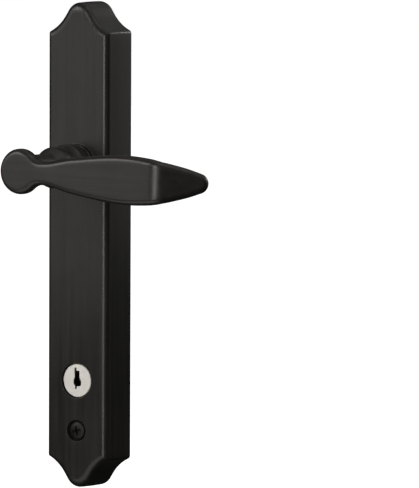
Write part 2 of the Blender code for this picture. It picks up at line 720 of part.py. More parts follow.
def neck_profile():
    """Flare, throat, bell, crease, cove and collar of the lever's neck with the shank below, from bulb to cam."""
    groove_foot = HUB_TOP + GAP
    collar_foot = groove_foot + COLLAR_GROOVE
    collar_top = collar_foot + COLLAR_LENGTH
    back = FACE - LEVER_THICKNESS
    root = BULB_RADIUS - NECK_INSET
    bell, crease = collar_top + NECK_BELL_PLACE, collar_top + NECK_CREASE_PLACE
    profile = [(0, back + NECK_ROOT), (root, back + NECK_ROOT), (root, back)]
    for a in np.linspace(0, 1, 4)[1:]:
        profile.append((NECK_THROAT_RADIUS + (root - NECK_THROAT_RADIUS) * (1 - a) ** 2, back - NECK_FLARE * a))
    for a in np.linspace(0, 1, 7):
        rise = (NECK_BELL_RADIUS - NECK_THROAT_RADIUS) * (1 - cos(pi * a)) / 2
        profile.append((NECK_THROAT_RADIUS + rise, bell + NECK_BELL_LENGTH * (1 - a)))
    for a in np.linspace(0, pi / 2, 4)[1:]:
        drop = (NECK_BELL_RADIUS - NECK_CREASE_RADIUS) * (1 - cos(a))
        profile.append((NECK_BELL_RADIUS - drop, bell + (crease - bell) * sin(a)))
    cove_top = COLLAR_RADIUS - COLLAR_EDGE
    for a in np.linspace(0, 1, 4)[1:]:
        rise = (cove_top - NECK_CREASE_RADIUS) * a**2
        profile.append((NECK_CREASE_RADIUS + rise, crease + (collar_top + COLLAR_EDGE - crease) * a))
    profile += [
        (COLLAR_RADIUS, collar_top),
        (COLLAR_RADIUS, collar_foot + COLLAR_EDGE),
        (COLLAR_RADIUS - COLLAR_EDGE, collar_foot),
        (COLLAR_GROOVE_RADIUS, collar_foot),
        (COLLAR_GROOVE_RADIUS, groove_foot),
        (SHANK_RADIUS, groove_foot),
        (SHANK_RADIUS, CAM_TOP + GAP),
        (0, CAM_TOP + GAP),
    ]
    return profile


def make_lever(lever_axis, black, steel):
    """The lever casting with its shank, square and tang."""
    lever = piece("lever_handle", lever_blade(), black, lever_axis)
    mesh, sides = turned(neck_profile(), sides=FINE_SIDES)
    combine(lever, spin(helper(mesh, lever_axis), sides), "UNION")
    square = square_bar(SHANK_SQUARE, SQUARE_END, CAM_TOP + GAP + OVERLAP)
    combine(lever, helper(square, lever_axis), "UNION")
    combine(lever, helper(square_bar(TANG_SQUARE, TANG_END, SQUARE_END + OVERLAP), lever_axis), "UNION")
    groove = ring_mesh(RING_GROOVE_RADIUS, SHANK_SQUARE, RING_END - GAP / 2, RING_TOP + GAP / 2)
    combine(lever, helper(groove, lever_axis), "DIFFERENCE")
    cross_hole = cylinder(SLEEVE_PIN_RADIUS + GAP, -SHANK_SQUARE, SHANK_SQUARE, SMALL_SIDES)
    combine(lever, helper(cross_hole, lever_axis, (0, 0, sleeve_pin_height()), (0, pi / 2, 0)), "DIFFERENCE")

    make_sleeve(lever_axis, steel)


def sleeve_pin_height():
    """The cross pin goes through the middle of the tang."""
    return (TANG_END + SQUARE_END) / 2


def make_sleeve(lever_axis, steel):
    """Round sleeve with a square hole: the tang fills its front, the spindle enters from behind."""
    hole = TANG_SQUARE + 2 * GAP
    half = hole / 2
    outline = [circle(SLEEVE_RADIUS), [(-half, -half), (half, -half), (half, half), (-half, half)]]
    sleeve = piece("spindle_sleeve", flat(outline, SLEEVE_END, SQUARE_END - GAP), steel, lever_axis)
    cross_hole = cylinder(SLEEVE_PIN_RADIUS + GAP, -2 * SLEEVE_RADIUS, 2 * SLEEVE_RADIUS, SMALL_SIDES)
    place, turn = (0, 0, sleeve_pin_height()), (0, pi / 2, 0)
    combine(sleeve, helper(cross_hole, lever_axis, place, turn), "DIFFERENCE")
    reach = SLEEVE_RADIUS - 0.2 * MM
    piece("sleeve_pin", cylinder(SLEEVE_PIN_RADIUS, -reach, reach, SMALL_SIDES), steel, lever_axis, place, turn)


def ring_mesh(inner, outer, low, high, sides=ROUND_SIDES):
    """A flat ring."""
    return flat([circle(outer, sides=sides), circle(inner, sides=sides)], low, high)


def open_ring(inner, outer, mouth, low, high):
    """A flat ring with a mouth at its foot, as a snap ring has."""
    first, last = -pi / 2 + mouth / 2, 3 * pi / 2 - mouth / 2
    return flat([arc(outer, first, last, steps=30) + arc(inner, last, first, steps=30)], low, high)


def make_hub_stack(lever_axis, bronze, steel, zinc):
    """Bush, washer, cam, snap ring, return spring and the sheet cover with its screws."""
    flange_top = BOSS_END - GAP
    turned_piece(
        "hub_bushing",
        [
            (BUSH_RADIUS, HUB_TOP - GAP),
            (BUSH_RADIUS, flange_top),
            (BUSH_FLANGE_RADIUS, flange_top),
            (BUSH_FLANGE_RADIUS, BUSH_END),
            (SHANK_RADIUS + GAP, BUSH_END),
            (SHANK_RADIUS + GAP, HUB_TOP - GAP),
        ],
        bronze,
        lever_axis,
        closed=True,
    )
    washer = ring_mesh(SHANK_RADIUS + GAP, BUSH_FLANGE_RADIUS, WASHER_END, WASHER_END + WASHER_THICKNESS)
    piece("thrust_washer", washer, steel, lever_axis)
    make_cam(lever_axis, zinc)
    ring = open_ring(RING_GROOVE_RADIUS + GAP, RING_REACH, RING_MOUTH, RING_END, RING_TOP)
    piece("retaining_ring", ring, steel, lever_axis)
    make_return_spring(lever_axis, steel)

    holes = [circle(SLEEVE_RADIUS + 2 * GAP)]
    holes += [circle(POST_RADIUS + GAP, (0, s * POST_PLACE)) for s in (1, -1)]
    holes += [circle(SMALL_SCREW_RADIUS + GAP, (0, s * SMALL_SCREW_PLACE), SMALL_SIDES) for s in (1, -1)]
    cover = [stadium(COVER_HALF_WIDTH, -COVER_HALF_LENGTH, COVER_HALF_LENGTH), *holes]
    piece("spring_cover", flat(cover, SHEET_BACK, SHEET_FRONT), zinc, lever_axis)
    for name, sign in (("upper", 1), ("lower", -1)):
        small_screw(f"cover_screw_{name}", lever_axis, sign * SMALL_SCREW_PLACE, zinc)


def make_cam(lever_axis, zinc):
    """Disc on the shank's square, with an arm that meets the stops and a finger that loads the spring."""
    half = SHANK_SQUARE / 2 + GAP
    hole = [(-half, -half), (half, -half), (half, half), (-half, half)]
    lap = asin(CAM_ARM_WIDTH / 2 / CAM_RADIUS)
    rest = cam_rest_angle()
    body = arc(CAM_RADIUS, rest + lap, rest + 2 * pi - lap, steps=36)
    side = (-sin(rest) * CAM_ARM_WIDTH / 2, cos(rest) * CAM_ARM_WIDTH / 2)
    tip = (CAM_ARM_REACH * cos(rest), CAM_ARM_REACH * sin(rest))
    arm = [(tip[0] - side[0], tip[1] - side[1]), (tip[0] + side[0], tip[1] + side[1])]
    cam = piece("return_cam", flat([body + arm, hole], CAM_END, CAM_TOP), zinc, lever_axis)
    finger = cylinder(CAM_FINGER_RADIUS, CAM_TOP - OVERLAP, spring_arm_height() + SPRING_WIRE, SMALL_SIDES)
    combine(cam, helper(finger, lever_axis, polar(CAM_FINGER_PLACE, rest)), "UNION")


def spring_arm_height():
    """The spring's moving arm passes just in front of the boss's end."""
    return BOSS_END + SPRING_WIRE


def make_return_spring(lever_axis, steel):
    """Torsion spring round the boss: its foot leans on a post, its arm on the cam's finger."""
    radius = HUB_BOSS_RADIUS + GAP + SPRING_WIRE / 2
    first_z = CAVITY_ROOF - GAP - SPRING_WIRE / 2
    last_z = spring_arm_height()
    lead = (CAM_FINGER_RADIUS + SPRING_WIRE / 2 + GAP) / CAM_FINGER_PLACE
    arm_angle = cam_rest_angle() - lead
    last_angle = arm_angle - 2 * pi * SPRING_TURNS
    points = [polar(SPRING_ARM_REACH, SPRING_FOOT_ANGLE, first_z)]
    steps = 14 * SPRING_TURNS + 6
    for t in np.linspace(0, 1, steps + 1):
        angle = SPRING_FOOT_ANGLE + (last_angle - SPRING_FOOT_ANGLE) * t
        points.append(polar(radius, angle, first_z + (last_z - first_z) * t))
    points.append(polar(SPRING_ARM_REACH, arm_angle, last_z))
    piece("return_spring", wire(points, SPRING_WIRE), steel, lever_axis)


def small_screw(name, axis, y, zinc):
    """Pan-head screw that holds a sheet piece from the door side."""
    head_top = SHEET_BACK - GAP
    head_end = head_top - SMALL_HEAD
    foot = SHEET_FRONT + SMALL_SCREW_LENGTH
    turned_piece(
        name,
        [
            (0, foot),
            (SMALL_SCREW_RADIUS * 0.5, foot),
            (SMALL_SCREW_RADIUS, foot - SMALL_SCREW_POINT),
            (SMALL_SCREW_RADIUS, head_top),
            (SMALL_HEAD_RADIUS, head_top),
            (SMALL_HEAD_RADIUS * 0.85, head_end),
            (0, head_end),
        ],
        zinc,
        axis,
        (0, y, 0),
        sides=SMALL_SIDES,
    )


def make_post(name, axis, y, steel):
    """Threaded post, pressed into the plate, with a collar on its boss and a bore for the through bolt."""
    top = POST_SEAT + POST_DEPTH
    bore_top = POST_END + POST_BORE_DEPTH
    turned_piece(
        name,
        [
            (0, top),
            (POST_RADIUS - POST_CHAMFER, top),
            (POST_RADIUS, top - POST_CHAMFER),
            (POST_RADIUS, POST_FLANGE_TOP),
            (POST_FLANGE_RADIUS, POST_FLANGE_TOP),
            (POST_FLANGE_RADIUS, POST_FLANGE_TOP - POST_FLANGE),
            (POST_RADIUS, POST_FLANGE_TOP - POST_FLANGE),
            (POST_RADIUS, POST_END + POST_CHAMFER),
            (POST_RADIUS - POST_CHAMFER, POST_END),
            (POST_BORE, POST_END),
            (POST_BORE, bore_top),
            (0, bore_top + POST_BORE),
        ],
        steel,
        axis,
        (0, y, 0),
        sides=ROUND_SIDES,
    )


def pin_heights():
    """Where the pin chambers lie along the lock."""
    return [FIRST_PIN - i * PIN_PITCH for i in range(PIN_COUNT)]


def chambers(target, lock_axis, low, high):
    """Cut the row of pin chambers."""
    for z in pin_heights():
        hole = cylinder(CHAMBER_RADIUS, low, high, SMALL_SIDES)
        combine(target, helper(hole, lock_axis, (0, 0, z), (-pi / 2, 0, 0)), "DIFFERENCE")


def make_barrel(lock_axis, brass, steel, zinc):
    """Lock barrel with its pin block, the strip over the chambers and the sheet piece that holds it."""
    barrel = turned_piece(
        "lock_barrel",
        [
            (0, BARREL_FRONT),
            (BARREL_RADIUS, BARREL_FRONT),
            (BARREL_RADIUS, BARREL_SHOULDER),
            (BARREL_TAIL_RADIUS, BARREL_SHOULDER),
            (BARREL_TAIL_RADIUS, BARREL_END),
            (0, BARREL_END),
        ],
        brass,
        lock_axis,
        sides=FINE_SIDES,
    )
    block = box((-BIBLE_HALF_WIDTH, BIBLE_HALF_WIDTH), (0, BIBLE_TOP), (BIBLE_BACK, BIBLE_FRONT))
    combine(barrel, helper(block, lock_axis), "UNION")
    chambers(barrel, lock_axis, PLUG_RADIUS / 2, CHAMBER_TOP + OVERLAP)
    combine(barrel, helper(cylinder(BARREL_BORE, 2 * BARREL_END, FRONT, FINE_SIDES), lock_axis), "DIFFERENCE")
    slot_half = CHAMBER_LID_HALF_WIDTH + GAP
    slot = box((-slot_half, slot_half), (CHAMBER_TOP, BIBLE_TOP + OVERLAP), (2 * BIBLE_BACK, 2 * BIBLE_FRONT))
    combine(barrel, helper(slot, lock_axis), "DIFFERENCE")
    lid = box(
        (-CHAMBER_LID_HALF_WIDTH, CHAMBER_LID_HALF_WIDTH),
        (CHAMBER_TOP + GAP, CHAMBER_TOP + GAP + CHAMBER_LID),
        (BIBLE_BACK + GAP, BIBLE_FRONT - GAP),
    )
    piece("chamber_cover", lid, brass, lock_axis)

    low = -RETAINER_LOW_SCREW - RETAINER_MARGIN
    high = SMALL_SCREW_PLACE + RETAINER_MARGIN
    hole_radius = BARREL_TAIL_RADIUS + GAP
    notch = BIBLE_HALF_WIDTH + GAP
    notch_angle = asin(notch / hole_radius)
    keyhole = arc(hole_radius, pi / 2 + notch_angle, 5 * pi / 2 - notch_angle, steps=34)
    keyhole += [(notch, BIBLE_TOP + GAP), (-notch, BIBLE_TOP + GAP)]
    holes = [keyhole, circle(POST_RADIUS + GAP, (0, POST_PLACE))]
    for y in (-RETAINER_LOW_SCREW, SMALL_SCREW_PLACE):
        holes.append(circle(SMALL_SCREW_RADIUS + GAP, (0, y), SMALL_SIDES))
    sheet = flat([stadium(RETAINER_HALF_WIDTH, low, high), *holes], SHEET_BACK, SHEET_FRONT)
    piece("barrel_retainer", sheet, zinc, lock_axis)
    small_screw("retainer_screw_lower", lock_axis, -RETAINER_LOW_SCREW, zinc)
    small_screw("retainer_screw_upper", lock_axis, SMALL_SCREW_PLACE, zinc)


def make_plug(lock_axis, nickel, brass, steel):
    """The plug that the key turns, with its clip, tail driver and screws."""
    top = FRONT - PLUG_HEAD_SUNK
    plug = turned_piece(
        "lock_plug",
        [
            (0, top),
            (PLUG_HEAD_RADIUS - PLUG_HEAD_EDGE, top),
            (PLUG_HEAD_RADIUS, top - PLUG_HEAD_EDGE),
            (PLUG_HEAD_RADIUS, CAVITY_ROOF),
            (PLUG_RADIUS, CAVITY_ROOF),
            (PLUG_RADIUS, CLIP_TOP + GAP / 2),
            (CLIP_GROOVE_RADIUS, CLIP_TOP + GAP / 2),
            (CLIP_GROOVE_RADIUS, CLIP_TOP - CLIP_THICKNESS - GAP / 2),
            (PLUG_RADIUS, CLIP_TOP - CLIP_THICKNESS - GAP / 2),
            (PLUG_RADIUS, PLUG_END),
            (0, PLUG_END),
        ],
        nickel,
        lock_axis,
        sides=FINE_SIDES,
    )
    keyway = flat([[(x * MM, y * MM) for x, y in KEYWAY]], KEYWAY_END, FRONT + OVERLAP)
    combine(plug, helper(keyway, lock_axis), "DIFFERENCE")
    chambers(plug, lock_axis, key_pin_foot() - KEY_PIN_TRAVEL - GAP, PLUG_RADIUS + OVERLAP)
    for sign in (1, -1):
        hole = cylinder(TAIL_SCREW_RADIUS + PIN_CLEARANCE, 2 * PLUG_END, TAIL_END + TAIL_SCREW_LENGTH, SMALL_SIDES)
        combine(plug, helper(hole, lock_axis, (sign * TAIL_SCREW_PLACE, 0, 0)), "DIFFERENCE")
    clip = open_ring(CLIP_GROOVE_RADIUS + GAP, CLIP_REACH, RING_MOUTH, CLIP_TOP - CLIP_THICKNESS, CLIP_TOP)
    piece("plug_clip", clip, steel, lock_axis)

    half_slot, half_height = TAIL_SLOT
    slot = [(-half_slot, -half_height), (half_slot, -half_height), (half_slot, half_height), (-half_slot, half_height)]
    holes = [slot]
    for sign in (1, -1):
        holes.append(circle(TAIL_SCREW_RADIUS + PIN_CLEARANCE, (sign * TAIL_SCREW_PLACE, 0), SMALL_SIDES))
    piece("tail_driver", flat([circle(TAIL_RADIUS), *holes], TAIL_END, TAIL_TOP), brass, lock_axis)
    for name, sign in (("left", -1), ("right", 1)):
        head_top = TAIL_END - GAP
        foot = TAIL_END + TAIL_SCREW_LENGTH - GAP
        turned_piece(
            f"tail_screw_{name}",
            [
                (0, foot),
                (TAIL_SCREW_RADIUS, foot),
                (TAIL_SCREW_RADIUS, head_top),
                (TAIL_HEAD_RADIUS, head_top),
                (TAIL_HEAD_RADIUS, head_top - TAIL_HEAD),
                (0, head_top - TAIL_HEAD),
            ],
            steel,
            lock_axis,
            (sign * TAIL_SCREW_PLACE, 0, 0),
            sides=SMALL_SIDES,
        )


def key_pin_top():
    """A key pin's flat end lies inside the plug's round."""
    return sqrt(PLUG_RADIUS**2 - PIN_RADIUS**2)


def key_pin_foot():
    """The lower end of a key pin, on the key's cut."""
    return key_pin_top() - KEY_PIN_LENGTH


def make_pins(lock_axis, brass, steel):
    """Key pins, driver pins and their springs, at the shear line as with the right key in."""
    top, foot = key_pin_top(), key_pin_foot()
    lid = CHAMBER_TOP
    coil = CHAMBER_RADIUS - PIN_CLEARANCE - PIN_SPRING_WIRE / 2 - 0.05 * MM
    for number, z in enumerate(pin_heights(), 1):
        place, turn = (0, 0, z), (-pi / 2, 0, 0)
        turned_piece(
            f"key_pin_{number}",
            [(0, top), (PIN_RADIUS, top), (PIN_RADIUS, foot + PIN_TIP), (PIN_RADIUS * 0.4, foot), (0, foot)],
            brass, lock_axis, place, turn, sides=SMALL_SIDES,
        )
        end = DRIVER_FOOT + DRIVER_LENGTH
        turned_piece(
            f"driver_pin_{number}",
            [(0, end), (PIN_RADIUS, end), (PIN_RADIUS, DRIVER_FOOT), (0, DRIVER_FOOT)],
            steel, lock_axis, place, turn, sides=SMALL_SIDES,
        )
        low, high = PIN_SPRING_FOOT + PIN_SPRING_WIRE / 2, lid - GAP - PIN_SPRING_WIRE / 2
        turns = np.linspace(0, PIN_SPRING_TURNS, 8 * PIN_SPRING_TURNS + 1)
        points = [polar(coil, 2 * pi * t, low + (high - low) * t / PIN_SPRING_TURNS) for t in turns]
        piece(f"driver_spring_{number}", wire(points, PIN_SPRING_WIRE), steel, lock_axis, place, turn)


def make_plate_screw(lock_axis, black):
    """Countersunk-looking pan screw with a cross recess, sunk in its counterbore."""
    top = FRONT - SCREW_SUNK
    seat = top - SCREW_HEAD
    screw = turned_piece(
        "plate_screw",
        [
            (0, top),
            (SCREW_HEAD_RADIUS * 0.6, top - SCREW_CROWN * 0.25),
            (SCREW_HEAD_RADIUS * 0.9, top - SCREW_CROWN),
            (SCREW_HEAD_RADIUS, top - 2 * SCREW_CROWN),
            (SCREW_HEAD_RADIUS, seat),
            (SCREW_RADIUS, seat),
            (SCREW_RADIUS, SCREW_END + SCREW_POINT),
            (SCREW_RADIUS * 0.15, SCREW_END),
            (0, SCREW_END),
        ],
        black,
        lock_axis,
        (0, -POST_PLACE, 0),
    )
    for turn in (0, pi / 2):
        bm = bmesh.new()
        bmesh.ops.create_cube(bm, size=1.0)
        bmesh.ops.scale(bm, verts=bm.verts, vec=(2 * CROSS_REACH, CROSS_WIDTH, 2 * CROSS_DEPTH))
        deep = [v for v in bm.verts if v.co.z < 0]
        bmesh.ops.scale(bm, verts=deep, vec=(0.3, 0.7, 1))
        place = (0, -POST_PLACE, top)
        combine(screw, helper(to_mesh(bm), lock_axis, place, (0, 0, turn + CROSS_TURN)), "DIFFERENCE")


def main():
    """Build every piece."""
    clear_scene()
    black = finish("satin_black_paint", (0.045, 0.043, 0.041), 0.42, 0.0)
    nickel = finish("satin_nickel", (0.72, 0.70, 0.66), 0.3, 1.0)
    brass = finish("brass", (0.62, 0.47, 0.22), 0.35, 1.0)
    bronze = finish("sintered_bronze", (0.42, 0.30, 0.17), 0.55, 1.0)
    steel = finish("spring_steel", (0.42, 0.42, 0.43), 0.35, 1.0)
    zinc = finish("zinc_plate", (0.6, 0.6, 0.58), 0.4, 1.0)

    door = empty("door_frame", turn=(pi / 2, 0, 0))
    lever_axis = empty("lever_axis", door)
    lock_axis = empty("lock_axis", door, (0, -LOCK_DROP, 0))

    make_plate(door, lever_axis, lock_axis, black)
    make_lever(lever_axis, black, steel)
    make_hub_stack(lever_axis, bronze, steel, zinc)
    make_post("lever_post_upper", lever_axis, POST_PLACE, steel)
    make_post("lever_post_lower", lever_axis, -POST_PLACE, steel)
    make_post("lock_post", lock_axis, POST_PLACE, steel)
    make_barrel(lock_axis, brass, steel, zinc)
    make_plug(lock_axis, nickel, brass, steel)
    make_pins(lock_axis, brass, steel)
    make_plate_screw(lock_axis, black)


main()
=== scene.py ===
"""Dresses the outside lever plate of a screen door latch and sets it in a plain studio."""

import json
import logging
from dataclasses import dataclass
from enum import Enum

import bmesh
import bpy
import numpy as np
from mathutils import Matrix, Vector

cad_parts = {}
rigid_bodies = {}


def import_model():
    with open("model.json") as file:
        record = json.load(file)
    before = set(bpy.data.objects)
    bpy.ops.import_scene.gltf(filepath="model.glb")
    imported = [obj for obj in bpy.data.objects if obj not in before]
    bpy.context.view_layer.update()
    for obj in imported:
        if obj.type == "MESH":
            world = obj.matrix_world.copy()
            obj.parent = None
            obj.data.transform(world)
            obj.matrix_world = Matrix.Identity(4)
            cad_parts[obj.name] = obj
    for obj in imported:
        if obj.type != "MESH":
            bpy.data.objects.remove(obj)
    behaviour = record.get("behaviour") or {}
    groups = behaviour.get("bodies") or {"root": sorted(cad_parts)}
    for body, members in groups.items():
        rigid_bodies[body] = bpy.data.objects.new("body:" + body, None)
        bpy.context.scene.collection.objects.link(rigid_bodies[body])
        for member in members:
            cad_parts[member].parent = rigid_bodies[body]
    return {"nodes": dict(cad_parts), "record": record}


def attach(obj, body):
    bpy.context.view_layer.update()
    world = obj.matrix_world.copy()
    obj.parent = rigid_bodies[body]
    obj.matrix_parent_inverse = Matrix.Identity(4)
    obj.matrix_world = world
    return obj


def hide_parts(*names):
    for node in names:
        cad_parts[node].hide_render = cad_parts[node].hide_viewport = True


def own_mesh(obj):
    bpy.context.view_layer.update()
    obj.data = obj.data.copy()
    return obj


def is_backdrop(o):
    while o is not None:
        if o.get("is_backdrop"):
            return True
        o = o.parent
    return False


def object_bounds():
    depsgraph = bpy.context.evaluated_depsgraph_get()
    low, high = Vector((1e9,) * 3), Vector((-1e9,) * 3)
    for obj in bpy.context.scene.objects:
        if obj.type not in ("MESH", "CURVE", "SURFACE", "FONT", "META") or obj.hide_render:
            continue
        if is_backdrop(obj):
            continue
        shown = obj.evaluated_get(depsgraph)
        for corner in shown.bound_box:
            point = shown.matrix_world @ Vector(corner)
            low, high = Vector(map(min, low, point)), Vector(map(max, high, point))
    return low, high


Array = np.ndarray
Material = bpy.types.Material
Mesh = bpy.types.Mesh
Socket = bpy.types.NodeSocket
Pair = tuple[float, float]
Triple = tuple[float, float, float]
Facts = dict[str | int, object]

MM = 0.001
TURN = 2 * np.pi
QUARTER = np.pi / 2
WHITE = (1.0, 1.0, 1.0, 1.0)
LOG = logging.getLogger("lever_plate")

# Places that several pieces share, in mm: the axes of the lock and the screw up from the lever's, half the
# spacing of the bolts, and how far the plate stands out of the door.
LOCK_UP = -94.8
SCREW_UP = -117.025
HALF_BOLTS = 22.225
PLATE_DEPTH = 18.4


class Body(Enum):
    """Rigid bodies of the mechanism that carry new pieces."""

    PLATE = "plate"
    LEVER = "lever"


class Slot(Enum):
    """Material slots that a piece takes its finish from."""

    PAINT = "paint"
    NICKEL = "nickel"
    BRASS = "brass"
    BRONZE = "bronze"
    STEEL = "steel"
    ZINC = "zinc"


# Finishes


class NodeBoard:
    """Short calls for building the nodes of a material or a world."""

    def __init__(self, owner: Material | bpy.types.World) -> None:
        """Start on an owner's nodes.

        Args:
            owner: the new material or world.
        """
        self.owner = owner
        owner.use_nodes = True
        self.tree = owner.node_tree
        self.coords = self.add("TexCoord").outputs["Object"]

    def feed(self, facts: Facts, node: bpy.types.Node | None = None) -> None:
        """Give a node's inputs their values: a socket is linked, anything else is set on the input itself.

        Args:
            facts: value or socket of each input.
            node: the node, or the material's own shader.
        """
        inputs = (node or self.tree.nodes["Principled BSDF"]).inputs
        for key, value in facts.items():
            if isinstance(value, Socket):
                self.tree.links.new(value, inputs[key])
            else:
                inputs[key].default_value = value

    def add(self, kind: str, facts: Facts | None = None, **values: object) -> bpy.types.Node:
        """Add a node, set its properties and feed its inputs.

        Args:
            kind: node type.
            facts: value or socket of each input.
            **values: properties of the node.

        Returns:
            The new node.
        """
        node = self.tree.nodes.new(f"ShaderNode{kind}")
        for key, value in values.items():
            setattr(node, key, value)
        self.feed(facts or {}, node)
        return node

    def mapped(self, centre: Triple = (0.0, 0.0, 0.0), stretch: Triple = (1.0, 1.0, 1.0)) -> Socket:
        """Object coordinates moved to a centre and stretched.

        Args:
            centre: place that becomes the pattern's origin, in metres.
            stretch: how many times longer the pattern gets along each axis.

        Returns:
            The mapped coordinates.
        """
        facts = {"Location": centre, "Scale": stretch, "Vector": self.coords}
        return self.add("Mapping", facts, vector_type="TEXTURE").outputs["Vector"]

    def noise(self, scale: float, detail: float, rough: float, vector: Socket | None = None) -> Socket:
        """A noise pattern.

        Args:
            scale: cells per metre.
            detail: number of octaves.
            rough: strength of the fine octaves.
            vector: coordinates, or the object's own.

        Returns:
            The noise value, from 0 to 1.
        """
        facts = {"Scale": scale, "Detail": detail, "Roughness": rough, "Vector": vector or self.coords}
        return self.add("TexNoise", facts).outputs["Fac"]

    def depth(self) -> Socket:
        """How deep a point lies below the door's face.

        Returns:
            The depth, in metres.
        """
        return self.add("SeparateXYZ", {0: self.coords}).outputs["Y"]

    def ramp(self, value: Socket, *stops: tuple[float, float | Socket], smooth: bool = False) -> Socket:
        """Map a value along a line between two stops.

        Args:
            value: number to map.
            *stops: two pairs of input and output, where an output may be a pattern.
            smooth: ease the line in and out.

        Returns:
            The mapped number.
        """
        (low, out_low), (high, out_high) = stops
        facts = {"Value": value, "From Min": low, "From Max": high, "To Min": out_low, "To Max": out_high}
        kind = "SMOOTHSTEP" if smooth else "LINEAR"
        return self.add("MapRange", facts, interpolation_type=kind).outputs["Result"]

    def blend(self, factor: Socket, first: Triple | Socket, second: Triple) -> Socket:
        """Blend two colours by a factor.

        Args:
            factor: 0 for the first colour and 1 for the second.
            first: linear colour, or a colour pattern.
            second: linear colour.

        Returns:
            The blended colour.
        """
        start = first if isinstance(first, Socket) else (*first, 1.0)
        facts = {"Factor": factor, "A": start, "B": (*second, 1.0)}
        return self.add("Mix", facts, data_type="RGBA").outputs["Result"]

    def bump(self, height: Socket, strength: float, distance: float) -> None:
        """Add a bump below whatever already bends the shader's normal.

        Args:
            height: height pattern.
            strength: strength of the bump.
            distance: height in metres that the value 1 stands for.
        """
        facts = {"Strength": strength, "Distance": distance, "Height": height}
        links = self.tree.nodes["Principled BSDF"].inputs["Normal"].links
        if links:
            facts["Normal"] = links[0].from_socket
        self.feed({"Normal": self.add("Bump", facts).outputs["Normal"]})


@dataclass(frozen=True)
class SatinPaint:
    """Satin near-black paint, rubbed along one axis, with warm patches and a faint orange peel.

    Sunk holes, each given as its centre up the plate, its reach and its height out in mm, get painted shade:
    dark and dull, standing in for the shadow down the hole.
    """

    name: str
    rubbed: Triple
    deep: Triple = (0.0052, 0.0052, 0.0048)
    pale: Triple = (0.0140, 0.0127, 0.0116)
    roughness: Pair = (0.30, 0.38)
    tint: tuple[float, ...] = (1.0, 0.955, 0.905, 1.0)
    sunk: tuple[Triple, ...] = ()
    peel: float = 0.00005
    # Colour and roughness of the painted shade inside the sunk holes.
    shadow: Triple = (0.0012, 0.0012, 0.0012)
    shadow_roughness: float = 0.9

    def material(self) -> Material:
        """Build the paint.

        Returns:
            The material.
        """
        board = NodeBoard(bpy.data.materials.new(self.name))
        cloud = board.noise(38.0, 4.0, 0.6)
        streak = board.noise(420.0, 4.0, 0.62, board.mapped(stretch=self.rubbed))
        grain = board.noise(1500.0, 3.0, 0.6)
        facts = {0: cloud, 1: 1.2, 2: board.ramp(streak, (0.25, -0.38), (0.75, 0.18))}
        mottle = board.add("Math", facts, operation="MULTIPLY_ADD").outputs[0]
        color = board.blend(board.ramp(mottle, (0.2, 0.0), (0.8, 1.0)), self.deep, self.pale)
        gloss = board.ramp(streak, (0.25, self.roughness[0]), (0.75, self.roughness[1]))
        # Painted shade: inside each sunk hole the colour turns to the shadow colour and the paint turns dull.
        for hole in self.sunk:
            inside = self.inside(board, *hole)
            color = board.blend(inside, color, self.shadow)
            gloss = board.ramp(inside, (0.0, gloss), (1.0, self.shadow_roughness))
        board.feed({"Base Color": color, "Roughness": gloss})
        board.feed({"Specular IOR Level": 0.5, "Specular Tint": self.tint})
        board.bump(board.noise(520.0, 2.0, 0.45), 0.3, self.peel)
        board.bump(streak, 0.25, self.peel / 2)
        board.bump(grain, 0.25, self.peel / 4)
        return board.owner

    @staticmethod
    def inside(board: NodeBoard, up: float, reach: float, out: float) -> Socket:
        """Mask of a sunk hole: near enough to its axis, times below its mouth.

        The distance to the axis is a length whose part along the axis is made a thousand times shorter.

        Args:
            board: the paint's nodes.
            up: the hole's axis, in mm.
            reach: the hole's radius, in mm.
            out: height of its mouth, in mm.

        Returns:
            1 inside the hole and 0 outside.
        """
        # This mask marks where the painted shade of a sunk hole goes.
        flat = board.mapped((0.0, 0.0, up * MM), (1.0, 1000.0, 1.0))
        distance = board.add("VectorMath", {0: flat}, operation="LENGTH").outputs["Value"]
        near = board.ramp(distance, (reach * MM, 1.0), ((reach + 0.2) * MM, 0.0))
        below = board.ramp(board.depth(), (-out * MM, 0.0), ((0.4 - out) * MM, 1.0))
        return board.add("Math", {0: near, 1: below}, operation="MULTIPLY").outputs[0]


@dataclass(frozen=True)
class TurnedMetal:
    """Metal with a lathe's rings round an axis along Y, or a drawn grain where no rings are given."""

    name: str
    color: Triple
    shade: Triple
    roughness: Pair = (0.26, 0.42)
    grain: float = 900.0
    cloud: float = 160.0
    depth: float = 0.00002
    centre: Triple = (0.0, 0.0, 0.0)
    rings: float = 0.0
    # Below this height out of the door the colour turns to painted shade, standing in for the shadow down a
    # keyway.
    painted_shade_below: float | None = None
    painted_shade: Triple = (0.03, 0.026, 0.022)

    def material(self) -> Material:
        """Build the metal.

        Returns:
            The material.
        """
        board = NodeBoard(bpy.data.materials.new(self.name))
        cloud = board.noise(self.cloud, 3.0, 0.55)
        color = board.blend(board.ramp(cloud, (0.3, 0.0), (0.7, 1.0)), self.color, self.shade)
        # Painted shade: below the given height, down the keyway and inside the barrel, the colour turns dark.
        if self.painted_shade_below is not None:
            deep = board.ramp(board.depth(), (-self.painted_shade_below, 0.0), (0.0006 - self.painted_shade_below, 1.0))
            color = board.blend(deep, color, self.painted_shade)
        grain = board.noise(self.grain, 3.0, 0.6)
        gloss = board.ramp(grain, (0.25, self.roughness[0]), (0.75, self.roughness[1]))
        board.feed({"Metallic": 1.0, "Base Color": color, "Roughness": gloss})
        board.bump(grain, 0.3, self.depth)
        if self.rings:
            facts = {"Scale": self.rings, "Distortion": 1.2, "Detail": 2.0}
            facts["Vector"] = board.mapped(self.centre)
            wave = board.add("TexWave", facts, wave_type="RINGS", rings_direction="Y")
            board.bump(wave.outputs["Fac"], 0.35, self.depth)
        return board.owner


